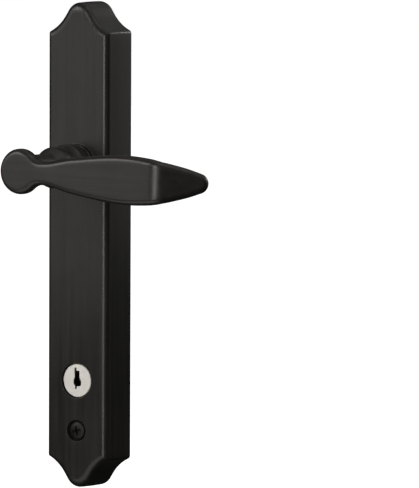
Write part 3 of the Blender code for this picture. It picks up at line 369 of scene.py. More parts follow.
@dataclass(frozen=True)
class StudioWhite:
    """Floor that is plain white to the camera, keeps the object's shadow and throws little light back."""

    name: str = "studio_white"
    seen: Triple = (0.86, 0.86, 0.86)
    thrown: Triple = (0.03, 0.03, 0.03)
    glow: float = 0.95

    def material(self) -> Material:
        """Build the floor's material.

        Returns:
            The material.
        """
        board = NodeBoard(bpy.data.materials.new(self.name))
        camera = board.add("LightPath").outputs["Is Camera Ray"]
        glow = board.ramp(camera, (0.0, 0.0), (1.0, self.glow))
        board.feed({"Base Color": board.blend(camera, self.thrown, self.seen), "Roughness": 0.9})
        board.feed({"Emission Strength": glow, "Emission Color": WHITE, "Specular IOR Level": 0.1})
        return board.owner


UPRIGHT, CROSSWISE, EVEN = (1.0, 1.0, 28.0), (28.0, 1.0, 1.0), (1.0, 1.0, 1.0)
# The plate's paint carries painted shade down the screw's counterbore and the lock's bore.
PLATE_PAINT = SatinPaint("satin_paint_plate", UPRIGHT, sunk=((SCREW_UP, 5.0, 18.2), (LOCK_UP, 8.1, 18.25)))
# Painted light: the plate's paint made lighter and warmer, so the lever shows brighter than the plate as if
# it caught more light.
LIT_LEVER_PAINT = SatinPaint(
    "satin_paint_lever_lit", CROSSWISE, deep=(0.0070, 0.0068, 0.0064), pale=(0.0190, 0.0155, 0.0138)
)
# Painted light: the plate's paint made about twice as light and duller, so the neck's bell, cove and collar
# show brighter than the light that reaches them.
LIT_NECK_PAINT = SatinPaint(
    "satin_paint_neck_lit", CROSSWISE, (0.0120, 0.0114, 0.0106), (0.0250, 0.0215, 0.0196), (0.42, 0.50)
)
SCREW_PAINT = SatinPaint(
    name="blackened_screw",
    rubbed=EVEN,
    deep=(0.0030, 0.0030, 0.0030),
    pale=(0.0060, 0.0058, 0.0055),
    roughness=(0.40, 0.48),
    tint=(0.50, 0.48, 0.46, 1.0),
    # painted shade on the head's side, down in its counterbore
    sunk=((SCREW_UP, 6.0, 17.45),),
)
PLUG_FACE = TurnedMetal(
    name="turned_plug_face",
    color=(0.9, 0.87, 0.81),
    shade=(0.84, 0.81, 0.75),
    roughness=(0.48, 0.56),
    centre=(0.0, 0.0, LOCK_UP * MM),
    rings=900.0,
    # painted shade down the keyway, below 17.2 mm out
    painted_shade_below=0.0172,
)
METALS = {
    Slot.NICKEL: TurnedMetal("satin_nickel", (0.74, 0.71, 0.66), (0.66, 0.63, 0.58), (0.24, 0.36)),
    Slot.BRASS: TurnedMetal("machined_brass", (0.62, 0.45, 0.19), (0.5, 0.35, 0.15)),
    Slot.BRONZE: TurnedMetal("sintered_bronze", (0.4, 0.28, 0.16), (0.3, 0.2, 0.12), (0.45, 0.6), 2600.0),
    Slot.STEEL: TurnedMetal("drawn_steel", (0.46, 0.46, 0.47), (0.36, 0.36, 0.37)),
    Slot.ZINC: TurnedMetal("zinc_plating", (0.62, 0.63, 0.62), (0.5, 0.51, 0.5), (0.3, 0.5), cloud=420.0),
}


# Surfaces. Points are given as right, up and out of the door, in mm.


class Shell:
    """Grids of points gathered into one mesh."""

    def __init__(self) -> None:
        """Start with no points."""
        self.points: list[Array] = []
        self.faces: list[Array] = []
        self.count = 0

    def grid(self, points: Array, close: bool = False) -> None:
        """Add a grid of points as quads.

        Args:
            points: array of rows by columns by 3.
            close: join the last column to the first.
        """
        rows, columns = points.shape[:2]
        index = np.arange(rows * columns).reshape(rows, columns)
        if close:
            index = np.hstack([index, index[:, :1]])
        corners = [index[:-1, :-1], index[:-1, 1:], index[1:, 1:], index[1:, :-1]]
        self.points.append(points.reshape(-1, 3))
        self.faces.append(np.stack(corners, axis=-1).reshape(-1, 4) + self.count)
        self.count += rows * columns

    def mesh(self, name: str, sharp: float = 32.0, merge: float = 0.0002) -> Mesh:
        """Weld the grids into a mesh in world coordinates, in metres, with the door's depth along +Y.

        Args:
            name: name of the mesh.
            sharp: edges that turn by more than this, in degrees, stay crisp.
            merge: points nearer than this become one, in mm.

        Returns:
            The mesh.
        """
        points = np.concatenate(self.points) * MM
        world = np.column_stack([points[:, 0], -points[:, 2], points[:, 1]])
        mesh = bpy.data.meshes.new(name)
        mesh.from_pydata(world.tolist(), [], np.concatenate(self.faces).tolist())
        work = bmesh.new()
        work.from_mesh(mesh)
        bmesh.ops.remove_doubles(work, verts=work.verts, dist=merge * MM)
        bmesh.ops.dissolve_degenerate(work, edges=work.edges, dist=merge * MM)
        bmesh.ops.recalc_face_normals(work, faces=work.faces)
        work.to_mesh(mesh)
        work.free()
        mesh.shade_smooth()
        mesh.set_sharp_from_angle(angle=np.radians(sharp))
        return mesh


def solid(name: str, points: Array, *discs: int, **welding: float) -> Mesh:
    """A mesh from one grid whose columns close on themselves.

    Args:
        name: name of the mesh.
        points: the grid.
        *discs: rows that a disc about their middle closes.
        **welding: how the mesh is welded.

    Returns:
        The mesh.
    """
    shell = Shell()
    shell.grid(points, close=True)
    for ring in points[list(discs)]:
        shell.grid(np.stack([ring, np.broadcast_to(ring.mean(axis=0), ring.shape)]), close=True)
    return shell.mesh(name, **welding)


def new_object(name: str, data: bpy.types.ID) -> bpy.types.Object:
    """Add an object to the scene.

    Args:
        name: name of the object.
        data: its mesh, lamp or camera.

    Returns:
        The object.
    """
    item = bpy.data.objects.new(name, data)
    bpy.context.scene.collection.objects.link(item)
    return item


def add_piece(mesh: Mesh, material: Material, body: Body, slot: Slot, *replaces: str) -> bpy.types.Object:
    """Add a piece of the object under its mesh's name, and let it ride on its body.

    Args:
        mesh: its mesh, in world coordinates.
        material: its finish.
        body: the body that carries it.
        slot: the record's material slot; not used.
        *replaces: nodes of the frame that it stands for.

    Returns:
        The piece.
    """
    piece = new_object(mesh.name, mesh)
    mesh.materials.append(material)
    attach(piece, body.value)
    if replaces:
        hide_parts(*replaces)
    LOG.info("%s: %d faces on %s", piece.name, len(mesh.polygons), body.value)
    return piece


def quarter(radius: float, steps: int) -> tuple[Array, Array]:
    """Offsets along a quarter arc: radius times (1 - cos) and (1 - sin) of an angle from 0 to 90 degrees.

    Args:
        radius: the arc's radius.
        steps: number of points.

    Returns:
        The two offsets as arrays.
    """
    angle = np.linspace(0, QUARTER, steps)
    return radius * (1 - np.cos(angle)), radius * (1 - np.sin(angle))


def circle(sides: int) -> Array:
    """Angles of evenly spaced points round a full turn.

    Args:
        sides: number of points.

    Returns:
        The angles, in radians.
    """
    return np.arange(sides) * TURN / sides


def turned(radius: Array, angle: Array, out: Array, centre: Pair = (0.0, 0.0)) -> Array:
    """Points about an axis that points out of the door: centre + radius (cos a, sin a), at a height out.

    Args:
        radius: distance of each point from the axis.
        angle: angle of each column, in radians.
        out: height of each point.
        centre: the axis, right and up.

    Returns:
        Grid of points by 3.
    """
    right, up = centre[0] + radius * np.cos(angle), centre[1] + radius * np.sin(angle)
    return np.stack([right, up, np.broadcast_to(out, right.shape)], axis=-1)


def revolve(profile: Array, angle: Array, centre: Pair = (0.0, 0.0)) -> Array:
    """Carry a profile round an axis that points out of the door.

    Args:
        profile: points of (radius, out).
        angle: angle of each column, in radians.
        centre: the axis, right and up.

    Returns:
        Grid of profile points by angles by 3.
    """
    return turned(profile[:, :1], angle, profile[:, 1:], centre)


def rounded_profile(corners: list[Triple], steps: int = 5) -> Array:
    """Round a profile's corners with arcs.

    Each corner is cut where its arc meets the two straight runs: at radius times tan(half the turn) from it,
    or a little before the middle of a run that is too short.

    Args:
        corners: (radius, out, rounding) of each corner.
        steps: points on each arc.

    Returns:
        The profile, as points by 2.
    """
    places = np.array([corner[:2] for corner in corners], float)
    out = [places[:1]]
    for before, here, after, corner in zip(places, places[1:], places[2:], corners[1:]):
        arms = [before - here, after - here]
        lengths = [np.linalg.norm(arm) for arm in arms]
        if corner[2] <= 0 or min(lengths) < 1e-9:
            out.append(here[None])
            continue
        arms = [arm / length for arm, length in zip(arms, lengths)]
        opening = np.arccos(np.clip(arms[0] @ arms[1], -1, 1))
        cut = min(corner[2] / np.tan(opening / 2), *(0.48 * length for length in lengths))
        t = np.linspace(0, 1, steps)[:, None]
        start, end = here + arms[0] * cut, here + arms[1] * cut
        out.append((1 - t) ** 2 * start + 2 * t * (1 - t) * here + t**2 * end)
    out.append(places[-1:])
    return np.concatenate(out)


# The plate


@dataclass(frozen=True)
class Hole:
    """A round opening in a flat field of the plate: its centre, half its patch, and its wall's profile."""

    up: float
    reach: float
    wall: list[Triple]


@dataclass(frozen=True)
class Boss:
    """A boss on the front wall: its axis, its radius and end, and its hole's radius and top."""

    right: float
    up: float
    radius: float
    end: float
    bore: float = 0.0
    bore_top: float = 0.0


@dataclass(frozen=True)
class EscutcheonPlate:
    """The hollow plate: crowned flanks, ogee ends, hub ring, openings, bosses and ribs. Sizes in mm."""

    paint: Material
    depth: float = PLATE_DEPTH
    half_width: float = 16.1
    top: float = 71.85
    bottom: float = -142.2
    front_wall: float = 2.6
    side_wall: float = 2.4
    side_draft: float = 0.3
    cavity_round: float = 0.6
    edge_round: float = 3.0
    bulge: float = 0.688
    peak: float = 0.85
    back_round: float = 0.8
    apex: float = 6.8
    end_slope: float = 56.5
    run: float = 1.6
    end_setback: float = 0.52
    crown_loss: float = 0.55
    shoulder_slope: float = 26.5
    shoulder: float = 1.1
    columns: int = 16
    row_ends: tuple[float, ...] = (54.0, 12.5, -12.5, -83.8, -105.8, -109.0, -125.0, -126.0)
    row_counts: tuple[int, ...] = (8, 16, 12, 16, 1, 16, 1)
    spring_spot: Triple = (240.5, 13.2, 9.4)
    stop_spots: tuple[Triple, ...] = ((134.2, 13.8, 4.7), (45.8, 13.8, 4.7))
    ribs: Pair = (45.0, -49.0)

    @property
    def roof(self) -> float:
        """Height of the cavity's roof."""
        return self.depth - self.front_wall

    def side(self, offset: float, drawn: bool) -> Array:
        """Right-hand half of the outline moved outwards by offset.

        From the apex down: an arc about the axis, a straight run, a hollow sweep, a shoulder arc, the
        straight side, and the same at the foot. The front's apexes are drawn in besides by a share of the
        offset, other inwards than outwards, that fades with a cosine across the plate.

        Args:
            offset: distance outwards.
            drawn: whether the apexes are drawn in.

        Returns:
            Points (right, up) from the upper apex to the lower.
        """
        corner = max(self.shoulder + offset, 0.3)
        slope, low = np.radians(self.end_slope), np.radians(self.shoulder_slope)
        start = self.apex * np.sin(slope) + self.run
        sweep = (self.half_width - start - self.shoulder * (1 - np.sin(low))) / (np.sin(slope) - np.sin(low))
        sweep_right = start + sweep * np.sin(slope)
        sweep_up = -self.apex * (1 - np.cos(slope)) - self.run * np.tan(slope) + sweep * np.cos(slope)
        reach = self.half_width + offset
        last = np.arcsin((sweep_right + corner - reach) / (sweep - offset + corner))
        a = np.linspace(0, slope, 16)
        apex = (self.apex + offset) * np.column_stack([np.sin(a), np.cos(a)]) - [0, self.apex]
        a = np.linspace(slope, last, 18)
        hollow = [sweep_right, sweep_up] - (sweep - offset) * np.column_stack([np.sin(a), np.cos(a)])
        a = np.linspace(last, QUARTER, 7)[1:]
        middle = np.array([reach - corner, hollow[-1, 1] - corner * np.cos(last)])
        end = np.vstack([apex, hollow, middle + corner * np.column_stack([np.sin(a), np.cos(a)])])
        draw = self.end_setback * max(-offset, 0.0) + self.crown_loss * max(offset, 0.0)
        end[:, 1] -= drawn * draw * np.cos(QUARTER * np.minimum(end[:, 0] / self.half_width, 1.0))
        spans = zip(self.row_ends, self.row_ends[1:], self.row_counts)
        rows = np.concatenate([np.linspace(a, b, n + 1)[:-1] for a, b, n in spans] + [self.row_ends[-1:]])
        straight = np.column_stack([np.full(len(rows), reach), rows])
        return np.vstack([end + [0, self.top], straight, (end * [1, -1])[::-1] + [0, self.bottom]])

    def ring(self, offset: float, out: float, drawn: bool) -> Array:
        """The whole outline at one height, right half then left half back up.

        Args:
            offset: distance outwards.
            out: height out of the door.
            drawn: whether the apexes are drawn in.

        Returns:
            Points by 3.
        """
        right = self.side(offset, drawn)
        both = np.vstack([right, right[-2:0:-1] * [-1, 1]])
        return np.column_stack([both, np.full(len(both), out)])

    def flank_levels(self) -> list[Pair]:
        """Offsets and heights from the face to the door: wide round, crowned flank, small round.

        Returns:
            Pairs of (offset, out).
        """
        down, inward = quarter(self.edge_round, 18)
        levels = list(zip(-inward, self.depth - down))
        ridge = self.depth - self.edge_round
        u = np.linspace(0, 1, 15)[1:]
        crown = self.bulge * (1 - ((u - self.peak) / self.peak) ** 2)
        levels += zip(crown, ridge - (ridge - self.back_round) * u)
        down, inward = quarter(self.back_round, 6)
        levels += zip(crown[-1] - down[1:], inward[1:])
        return levels

    def cavity_levels(self) -> list[Pair]:
        """Offsets and heights from the rim to the cavity's roof: small bevel, drafted wall, round.

        Returns:
            Pairs of (offset, out).
        """
        top, rim = -self.side_wall - self.side_draft, -self.side_wall + self.side_draft
        foot, bend = 0.3, self.cavity_round
        levels = [(rim + 0.25, 0.0), (rim + 0.05, 0.1), (rim, foot)]
        levels += zip(np.linspace(rim, top + bend, 5)[1:], np.linspace(foot, self.roof - bend, 5)[1:])
        down, inward = quarter(bend, 5)
        levels += zip(top + bend - down[1:], self.roof - inward[1:])
        return levels

    def holed_field(self, shell: Shell, offset: float, out: float, drawn: bool, holes: list[Hole]) -> None:
        """Fill the outline at one height with rows of quads, and open a walled hole in some blocks of rows.

        A hole's patch runs from its circle to the block's edge: each point is (1 - t) circle + t edge. Its
        wall is its profile carried round its axis at the patch's own angles.

        Args:
            shell: where the surface goes.
            offset: the outline's offset.
            out: height out of the door.
            drawn: whether the apexes are drawn in.
            holes: the round openings, from the top down.
        """
        right = self.side(offset, drawn)
        grid = np.empty((len(right), self.columns + 1, 3))
        grid[..., 0] = right[:, :1] * np.linspace(-1, 1, self.columns + 1)
        grid[..., 1], grid[..., 2] = right[:, 1:], out
        start = 0
        for hole in holes:
            inside = np.flatnonzero(np.abs(right[:, 1] - hole.up) <= hole.reach + 1e-6)
            first, last = inside[0], inside[-1]
            shell.grid(grid[start : first + 1])
            start, block = last, grid[first : last + 1]
            edge = np.concatenate([block[0, :-1], block[:-1, -1], block[-1, :0:-1], block[:0:-1, 0]])
            angle = np.arctan2(edge[:, 1] - hole.up, edge[:, 0])
            wall = revolve(rounded_profile(hole.wall), angle, (0.0, hole.up))
            t = np.linspace(0, 1, 5)[:, None, None]
            shell.grid((1 - t) * wall[:1] + t * edge, close=True)
            shell.grid(wall, close=True)
        shell.grid(grid[start:])

    def openings(self) -> tuple[list[Hole], list[Hole]]:
        """The hub, the lock's bore and the screw's counterbore.

        Returns:
            Their walls seen from the face, and seen from the cavity.
        """
        face, roof, spots = self.depth, self.roof, ((0.0, 12.5), (LOCK_UP, 11.0), (SCREW_UP, 8.0))
        ring, ring_top, hub, end = 9.75, face + 2.2, 7.85, roof - 6.4
        hub_front = [(10.15, face, 0), (ring, face, 0.4), (ring, ring_top, 0.55), (hub, ring_top, 0.25)]
        hub_back = [(10.4, roof, 0), (10.0, roof, 0.4), (10.0, end, 0.3), (hub, end, 0.2), (hub, end + 1, 0)]
        bore, barrel, end_lock = 7.95, 9.9, 6.0
        lock_front = [(8.25, face, 0), (bore, face, 0.3), (bore, roof, 0.15), (barrel, roof, 0.1)]
        lock_back = [(10.9, roof, 0), (10.5, roof, 0.4), (10.5, end_lock, 0.3), (barrel, end_lock, 0.15)]
        sunk, seat, hole, end_screw = 4.9, face - 2.5, 2.35, 8.0
        screw_front = [(5.2, face, 0), (sunk, face, 0.25), (sunk, seat, 0.3), (hole, seat, 0.1)]
        screw_back = [(6.8, roof, 0), (6.4, roof, 0.4), (6.4, end_screw, 0.3), (hole, end_screw, 0.1)]
        front = ([*hub_front, (hub, end, 0.2)], [*lock_front, (barrel, end_lock, 0.2)])
        front += ([*screw_front, (hole, end_screw, 0.1)],)
        fronts = [Hole(*spot, wall) for spot, wall in zip(spots, front)]
        return fronts, [Hole(*spot, wall) for spot, wall in zip(spots, (hub_back, lock_back, screw_back))]

    def skin(self) -> Mesh:
        """The casting as one closed surface: front, flanks, rim, cavity, and the walls of its three openings.

        Returns:
            The mesh.
        """
        shell = Shell()
        flank, cavity = self.flank_levels(), self.cavity_levels()
        rings = [self.ring(*level, True) for level in flank] + [self.ring(*level, False) for level in cavity]
        shell.grid(np.stack(rings), close=True)
        front, back = self.openings()
        self.holed_field(shell, *flank[0], True, front)
        self.holed_field(shell, *cavity[-1], False, back)
        return shell.mesh("plate_casting", merge=0.002)

    def boss(self, name: str, boss: Boss) -> Mesh:
        """A boss that grows from the front wall towards the door, with a blind hole from its end.

        Args:
            name: name of the mesh.
            boss: its place and sizes.

        Returns:
            The mesh.
        """
        roof, radius, flare = self.roof, boss.radius, 0.9
        corners = [(0, roof + 0.5, 0), (radius + flare, roof + 0.5, 0), (radius + flare, roof, 0)]
        corners += [(radius + 0.1, roof - flare, 0.6), (radius, boss.end, 0.35)]
        if boss.bore:
            corners += [(boss.bore, boss.end, 0.3), (boss.bore, boss.bore_top, 0.2), (0, boss.bore_top, 0)]
        else:
            corners += [(0, boss.end, 0)]
        return solid(name, revolve(rounded_profile(corners), circle(48), (boss.right, boss.up)))

    def rib(self, name: str, up: float) -> Mesh:
        """A rib across the cavity: a thin wall whose free edge is rounded.

        Across the wall the section is a half circle at the free edge and straight sides up to the front wall.

        Args:
            name: name of the mesh.
            up: its height along the plate.

        Returns:
            The mesh.
        """
        half, foot, root = 0.8, 8.0, self.roof + 0.5
        a = np.linspace(-QUARTER, QUARTER, 13)
        section = np.column_stack([half * np.sin(a), foot + half - half * np.cos(a)])
        section = np.vstack([[-half * 1.2, root], section, [half * 1.2, root]])
        reach = self.half_width - self.side_wall + 0.6
        wall = np.empty((9, len(section), 3))
        wall[..., 0] = np.linspace(-reach, reach, 9)[:, None]
        wall[..., 1], wall[..., 2] = up + section[:, 0], section[:, 1]
        return solid(name, wall, 0, -1)

    def bosses(self) -> dict[str, Boss]:
        """The bosses of the posts and small screws, the two stops and the spring's peg.

        Returns:
            Each one's place and sizes by name.
        """
        post, small, screws = (6.2, 4.0, 4.2, 12.3), (3.0, 2.7, 1.5, 9.7), HALF_BOLTS + 9.5
        facts = {
            "post_boss_upper": Boss(0, HALF_BOLTS, *post),
            "post_boss_lower": Boss(0, -HALF_BOLTS, *post),
            "post_boss_lock": Boss(0, LOCK_UP + HALF_BOLTS, *post),
            "cover_boss_upper": Boss(0, screws, *small),
            "cover_boss_lower": Boss(0, -screws, *small),
            "retainer_boss_upper": Boss(0, LOCK_UP + screws, *small),
            "retainer_boss_lower": Boss(0, LOCK_UP - 14.6, *small),
        }
        names, spots = ("stop_rest", "stop_turned", "spring_peg"), (*self.stop_spots, self.spring_spot)
        for name, (angle, away, end), radius in zip(names, spots, (2.0, 2.0, 1.5)):
            a = np.radians(angle)
            facts[name] = Boss(away * np.cos(a), away * np.sin(a), radius, end)
        return facts

    def build(self) -> None:
        """Add the casting, its bosses and its ribs."""
        add_piece(self.skin(), self.paint, Body.PLATE, Slot.PAINT, "escutcheon_plate")
        for name, boss in self.bosses().items():
            add_piece(self.boss(name, boss), self.paint, Body.PLATE, Slot.PAINT)
        for name, up in zip(("rib_upper", "rib_lower"), self.ribs):
            add_piece(self.rib(name, up), self.paint, Body.PLATE, Slot.PAINT)


# The lever


@dataclass(frozen=True)
class LeverHandle:
    """The lever: bulb, waisted blade with a bent tip, turned neck, shank, square and tang. Sizes in mm."""

    paint: Material
    # The neck's paint is painted light, lighter than the blade's.
    lit_neck_paint: Material
    face: float = 64.05
    thickness: float = 5.5
    front_round: float = 2.7
    back_round: float = 1.4
    droop: float = 2.0
    drop: float = 0.45
    bulb: float = 9.9
    waist: Pair = (11.9, 5.15)
    stations: tuple[Pair, ...] = ((27.4, 7.8), (52.3, 10.55), (72.0, 9.4), (84.9, 6.65))
    tip: float = 95.44
    tip_radius: float = 4.45
    tip_slope: float = 19.0
    bend_start: float = 68.15
    bend_radius: float = 9.2
    bend_angle: float = 45.0
    hub_top: float = 20.6

    @property
    def back(self) -> float:
        """Height of the blade's back face."""
        return self.face - self.thickness

    def edge(self) -> Array:
        """Upper edge of the blade's face along its length.

        The bulb's circle, a hollow arc that touches it and runs level at the waist, a smooth curve through
        the stations (cubic spans whose slope at a station is that of the line between its neighbours), and
        the tip's circle.

        Returns:
            Points (along, half width).
        """
        place, half = self.waist
        hollow = (place**2 + half**2 - self.bulb**2) / (2 * (self.bulb - half))
        touch = np.arctan2(half + hollow, place)
        a = np.linspace(np.pi, touch, 60)
        bulb = self.bulb * np.column_stack([np.cos(a), np.sin(a)])
        a = np.linspace(touch, QUARTER, 18)[1:-1]
        waist = [place, half + hollow] - hollow * np.column_stack([np.cos(a), np.sin(a)])
        slope = np.radians(self.tip_slope)
        joint = (self.tip - self.tip_radius * (1 - np.sin(slope)), self.tip_radius * np.cos(slope))
        knots = np.array([self.waist, *self.stations, joint])
        slopes = np.zeros(len(knots))
        slopes[1:-1] = (knots[2:, 1] - knots[:-2, 1]) / (knots[2:, 0] - knots[:-2, 0])
        slopes[-1] = -np.tan(slope)
        along = np.linspace(knots[0, 0], knots[-1, 0], 100)
        i = np.clip(np.searchsorted(knots[:, 0], along, side="right") - 1, 0, len(knots) - 2)
        span = knots[i + 1, 0] - knots[i, 0]
        t = (along - knots[i, 0]) / span
        blade = (
            knots[i, 1] * (2 * t**3 - 3 * t**2 + 1)
            + slopes[i] * span * (t**3 - 2 * t**2 + t)
            + knots[i + 1, 1] * (3 * t**2 - 2 * t**3)
            + slopes[i + 1] * span * (t**3 - t**2)
        )
        a = np.linspace(slope, QUARTER, 22)[1:]
        tip = [self.tip - self.tip_radius, 0] + self.tip_radius * np.column_stack([np.sin(a), np.cos(a)])
        return np.vstack([bulb, waist, np.column_stack([along, blade]), tip])

    @staticmethod
    def inset(edge: Array, amount: float) -> Array:
        """The edge moved inwards, square to itself.

        Args:
            edge: points (along, half width).
            amount: distance.

        Returns:
            The moved points.
        """
        tangent = np.gradient(edge, axis=0)
        tangent[0], tangent[-1] = (0, 1), (0, -1)
        tangent /= np.linalg.norm(tangent, axis=1)[:, None]
        moved = edge + amount * np.column_stack([tangent[:, 1], -tangent[:, 0]])
        moved[[0, -1], 1] = 0.0
        return moved

    def bend(self, along: Array, side: Array, out: float) -> Array:
        """Carry points of the straight lever round the bend towards the door, then let the lever droop.

        Past the bend's start, a point at depth d below the face turns about an axis one bend radius below it.

        Args:
            along: distance along the lever.
            side: distance above its centre line.
            out: height out of the door.

        Returns:
            Points (right, up, out).
        """
        limit = np.radians(self.bend_angle)
        turn = np.clip((along - self.bend_start) / self.bend_radius, 0, limit)
        past = np.maximum(along - self.bend_start - self.bend_radius * limit, 0)
        arm = self.bend_radius - self.face + out
        reach = np.minimum(along, self.bend_start) + arm * np.sin(turn) + past * np.cos(turn)
        height = self.face - self.bend_radius + arm * np.cos(turn) - past * np.sin(turn)
        a = np.radians(self.droop)
        right = reach * np.cos(a) + side * np.sin(a)
        up = side * np.cos(a) - reach * np.sin(a) - self.drop
        return np.stack([right, up, height], axis=-1)

    def blade(self) -> Mesh:
        """Bulb and blade as a closed surface: rounded edges between a front and a back face of level strips.

        Returns:
            The mesh.
        """
        edge = self.edge()
        down, inward = quarter(self.front_round, 10)
        levels = list(zip(inward, self.face - down))
        levels += [(0.0, (self.face - self.front_round + self.back + self.back_round) / 2)]
        down, inward = quarter(self.back_round, 8)
        levels += zip(down, self.back + inward)
        shell = Shell()
        rings = []
        for amount, out in levels:
            upper = self.inset(edge, amount)
            ring = np.vstack([upper, upper[-2:0:-1] * [1, -1]])
            rings.append(self.bend(ring[:, 0], ring[:, 1], out))
        shell.grid(np.stack(rings), close=True)
        across = np.linspace(1, -1, 13)
        for amount, out in (levels[0], levels[-1]):
            upper = self.inset(edge, amount)
            along = np.broadcast_to(upper[:, :1], (len(upper), len(across)))
            shell.grid(self.bend(along, upper[:, 1:] * across, out))
        return shell.mesh("lever_blade", sharp=40.0)

    def neck(self) -> Mesh:
        """Turned neck from the bulb's back to the cam: flare, bell, crease, cove, collar, groove and shank.

        The flare is a parabola, the bell half a cosine wave with a quarter ellipse at its foot, and the cove
        a power curve that runs up to the collar's rounded edge.

        Returns:
            The mesh.
        """
        groove = self.hub_top + 0.3
        collar = groove + 0.8
        top = collar + 5.3
        root, crease_at, bell_at, bell_length, shank_end = self.back + 1.6, top + 6.0, top + 9.4, 6.3, 6.5
        flare, throat, bell, crease, cove_foot = self.bulb - 2.4, 6.4, 9.05, 8.7, 8.2
        cove_edge, rim, waist, shank = 9.4, 9.8, 9.2, 6.3
        t = np.linspace(0, 1, 20)[:, None]
        a = t[1:] * QUARTER
        wave = (1 - np.cos(np.pi * t)) / 2
        cove_rise = top + 0.4 - crease_at
        cove = np.hstack([cove_foot + (cove_edge - cove_foot) * t**2.2, crease_at + cove_rise * t])
        corners = [(*cove[-1], 0), (rim, top - 0.05, 0.35), (rim, collar, 0.4), (waist, collar, 0.15)]
        corners += [(waist, groove, 0.25), (shank, groove, 0.1), (shank, shank_end, 0.2), (0, shank_end, 0)]
        curve = [
            np.array([[0, root], [flare, root]]),
            np.hstack([throat + (flare - throat) * (1 - t) ** 2, self.back - 4.5 * t]),
            np.hstack([throat + (bell - throat) * wave, bell_at + bell_length * (1 - t)]),
            np.hstack([crease + (bell - crease) * np.cos(a), bell_at + (crease_at - bell_at) * np.sin(a)]),
            cove[:-1] - [0, 0.25] * (1 - t[:-1]),
            rounded_profile(corners, 6),
        ]
        return solid("lever_neck", revolve(np.concatenate(curve), circle(128)), sharp=30.0)

    @staticmethod
    def bar(name: str, half: float, low: float, high: float) -> Mesh:
        """A bar of rounded square section along the lever's axis.

        The section is a superellipse of power 14, so its corners stay slightly round.

        Args:
            name: name of the mesh.
            half: half its width.
            low: height of its end.
            high: height of its root.

        Returns:
            The mesh.
        """
        a = circle(64) + TURN / 128
        reach = (np.abs(np.cos(a)) ** 14 + np.abs(np.sin(a)) ** 14) ** (-1 / 14)
        levels = np.array([(0.0, high), (half, high), (half, low + 0.3), (half - 0.3, low), (0.0, low)])
        return solid(name, turned(levels[:, :1] * reach, a, levels[:, 1:]))

    def build(self) -> None:
        """Add the blade, the neck, and the square and the tang behind it."""
        add_piece(self.blade(), self.paint, Body.LEVER, Slot.PAINT, "lever_handle")
        add_piece(self.neck(), self.lit_neck_paint, Body.LEVER, Slot.PAINT)
        add_piece(self.bar("lever_square", 4.3, 2.9, 6.8), self.paint, Body.LEVER, Slot.PAINT)
        add_piece(self.bar("lever_tang", 3.4, -2.7, 3.0), self.paint, Body.LEVER, Slot.PAINT)


# Screw, posts and springs


@dataclass(frozen=True)
class PlateScrew:
    """Pan-head screw with a cross recess and a real thread. Sizes in mm."""

    paint: Material
    top: float = PLATE_DEPTH - 0.2
    head: float = 2.0
    head_radius: float = 3.8
    radius: float = 2.05
    end: float = -13.0
    point: float = 4.0
    cross_reach: float = 2.05
    cross_width: float = 0.8
    cross_depth: float = 1.5
    turn: float = 12.0
    pitch: float = 0.8
    thread: float = 0.42

    def head_mesh(self) -> Mesh:
        """The head as a height over (radius, angle).

        The crown falls away with the square of the radius. The recess is a cross: its depth is full where
        the point lies within an arm's half width, and fades over a tenth of a millimetre at the arm's rim.

        Returns:
            The mesh.
        """
        inner, seat, angle = self.head_radius - 0.3, self.top - self.head, circle(256)
        radius = np.concatenate([np.linspace(0, 3.0, 46), np.linspace(3.0, inner, 5)[1:]])[:, None]
        right, up = radius * np.cos(angle), radius * np.sin(angle)
        a = np.radians(self.turn)
        u, v = right * np.cos(a) + up * np.sin(a), up * np.cos(a) - right * np.sin(a)
        half, reach = self.cross_width / 2, self.cross_reach
        arms = [self.step(half - np.abs(p)) * self.step(reach - np.abs(q)) for p, q in ((u, v), (v, u))]
        taper = 1 - 0.55 * np.clip(radius / reach, 0, 1)
        recess = np.maximum(np.maximum(*arms) * taper, self.step(0.85 - radius)) * self.cross_depth
        height = self.top - 0.7 * (radius / self.head_radius) ** 2 - recess
        cap = np.stack([right, up + SCREW_UP, height], axis=-1)
        rim = height[-1].mean()
        corners = [(inner, rim, 0), (self.head_radius, rim - 0.25, 0.2), (self.head_radius, seat, 0.2)]
        side = revolve(rounded_profile([*corners, (self.radius - 0.1, seat, 0)]), angle, (0, SCREW_UP))
        return solid("plate_screw_head", np.concatenate([cap, side[1:]]), -1, sharp=38.0, merge=0.004)

    @staticmethod
    def step(x: Array) -> Array:
        """A smooth step from 0 to 1 over a tenth of a millimetre about 0.

        Args:
            x: distances.

        Returns:
            The step's height at each.
        """
        t = np.clip(x / 0.12 + 0.5, 0, 1)
        return t * t * (3 - 2 * t)

    def shank_mesh(self) -> Mesh:
        """The threaded shank as a radius over (angle, height).

        The radius is the core plus a sharp ridge that follows the phase of angle less height over pitch, and
        the point narrows evenly to nothing.

        Returns:
            The mesh.
        """
        high, angle = self.top - self.head + 0.05, circle(40)
        out = np.linspace(high, self.end, 420)[:, None]
        phase = (angle / TURN - out / self.pitch) % 1.0
        ridge = np.clip(1 - np.abs(phase - 0.5) / 0.34, 0, 1)
        cut = self.thread * np.clip(high - 2.0 - out, 0, 1)
        radius = (self.radius - cut + cut * ridge) * np.clip((out - self.end) / self.point, 0.02, 1) ** 0.8
        return solid("plate_screw_shank", turned(radius, angle, out, (0, SCREW_UP)), 0, -1)

    def build(self) -> None:
        """Add the head and the shank."""
        add_piece(self.head_mesh(), self.paint, Body.PLATE, Slot.PAINT, "plate_screw")
        add_piece(self.shank_mesh(), self.paint, Body.PLATE, Slot.PAINT)


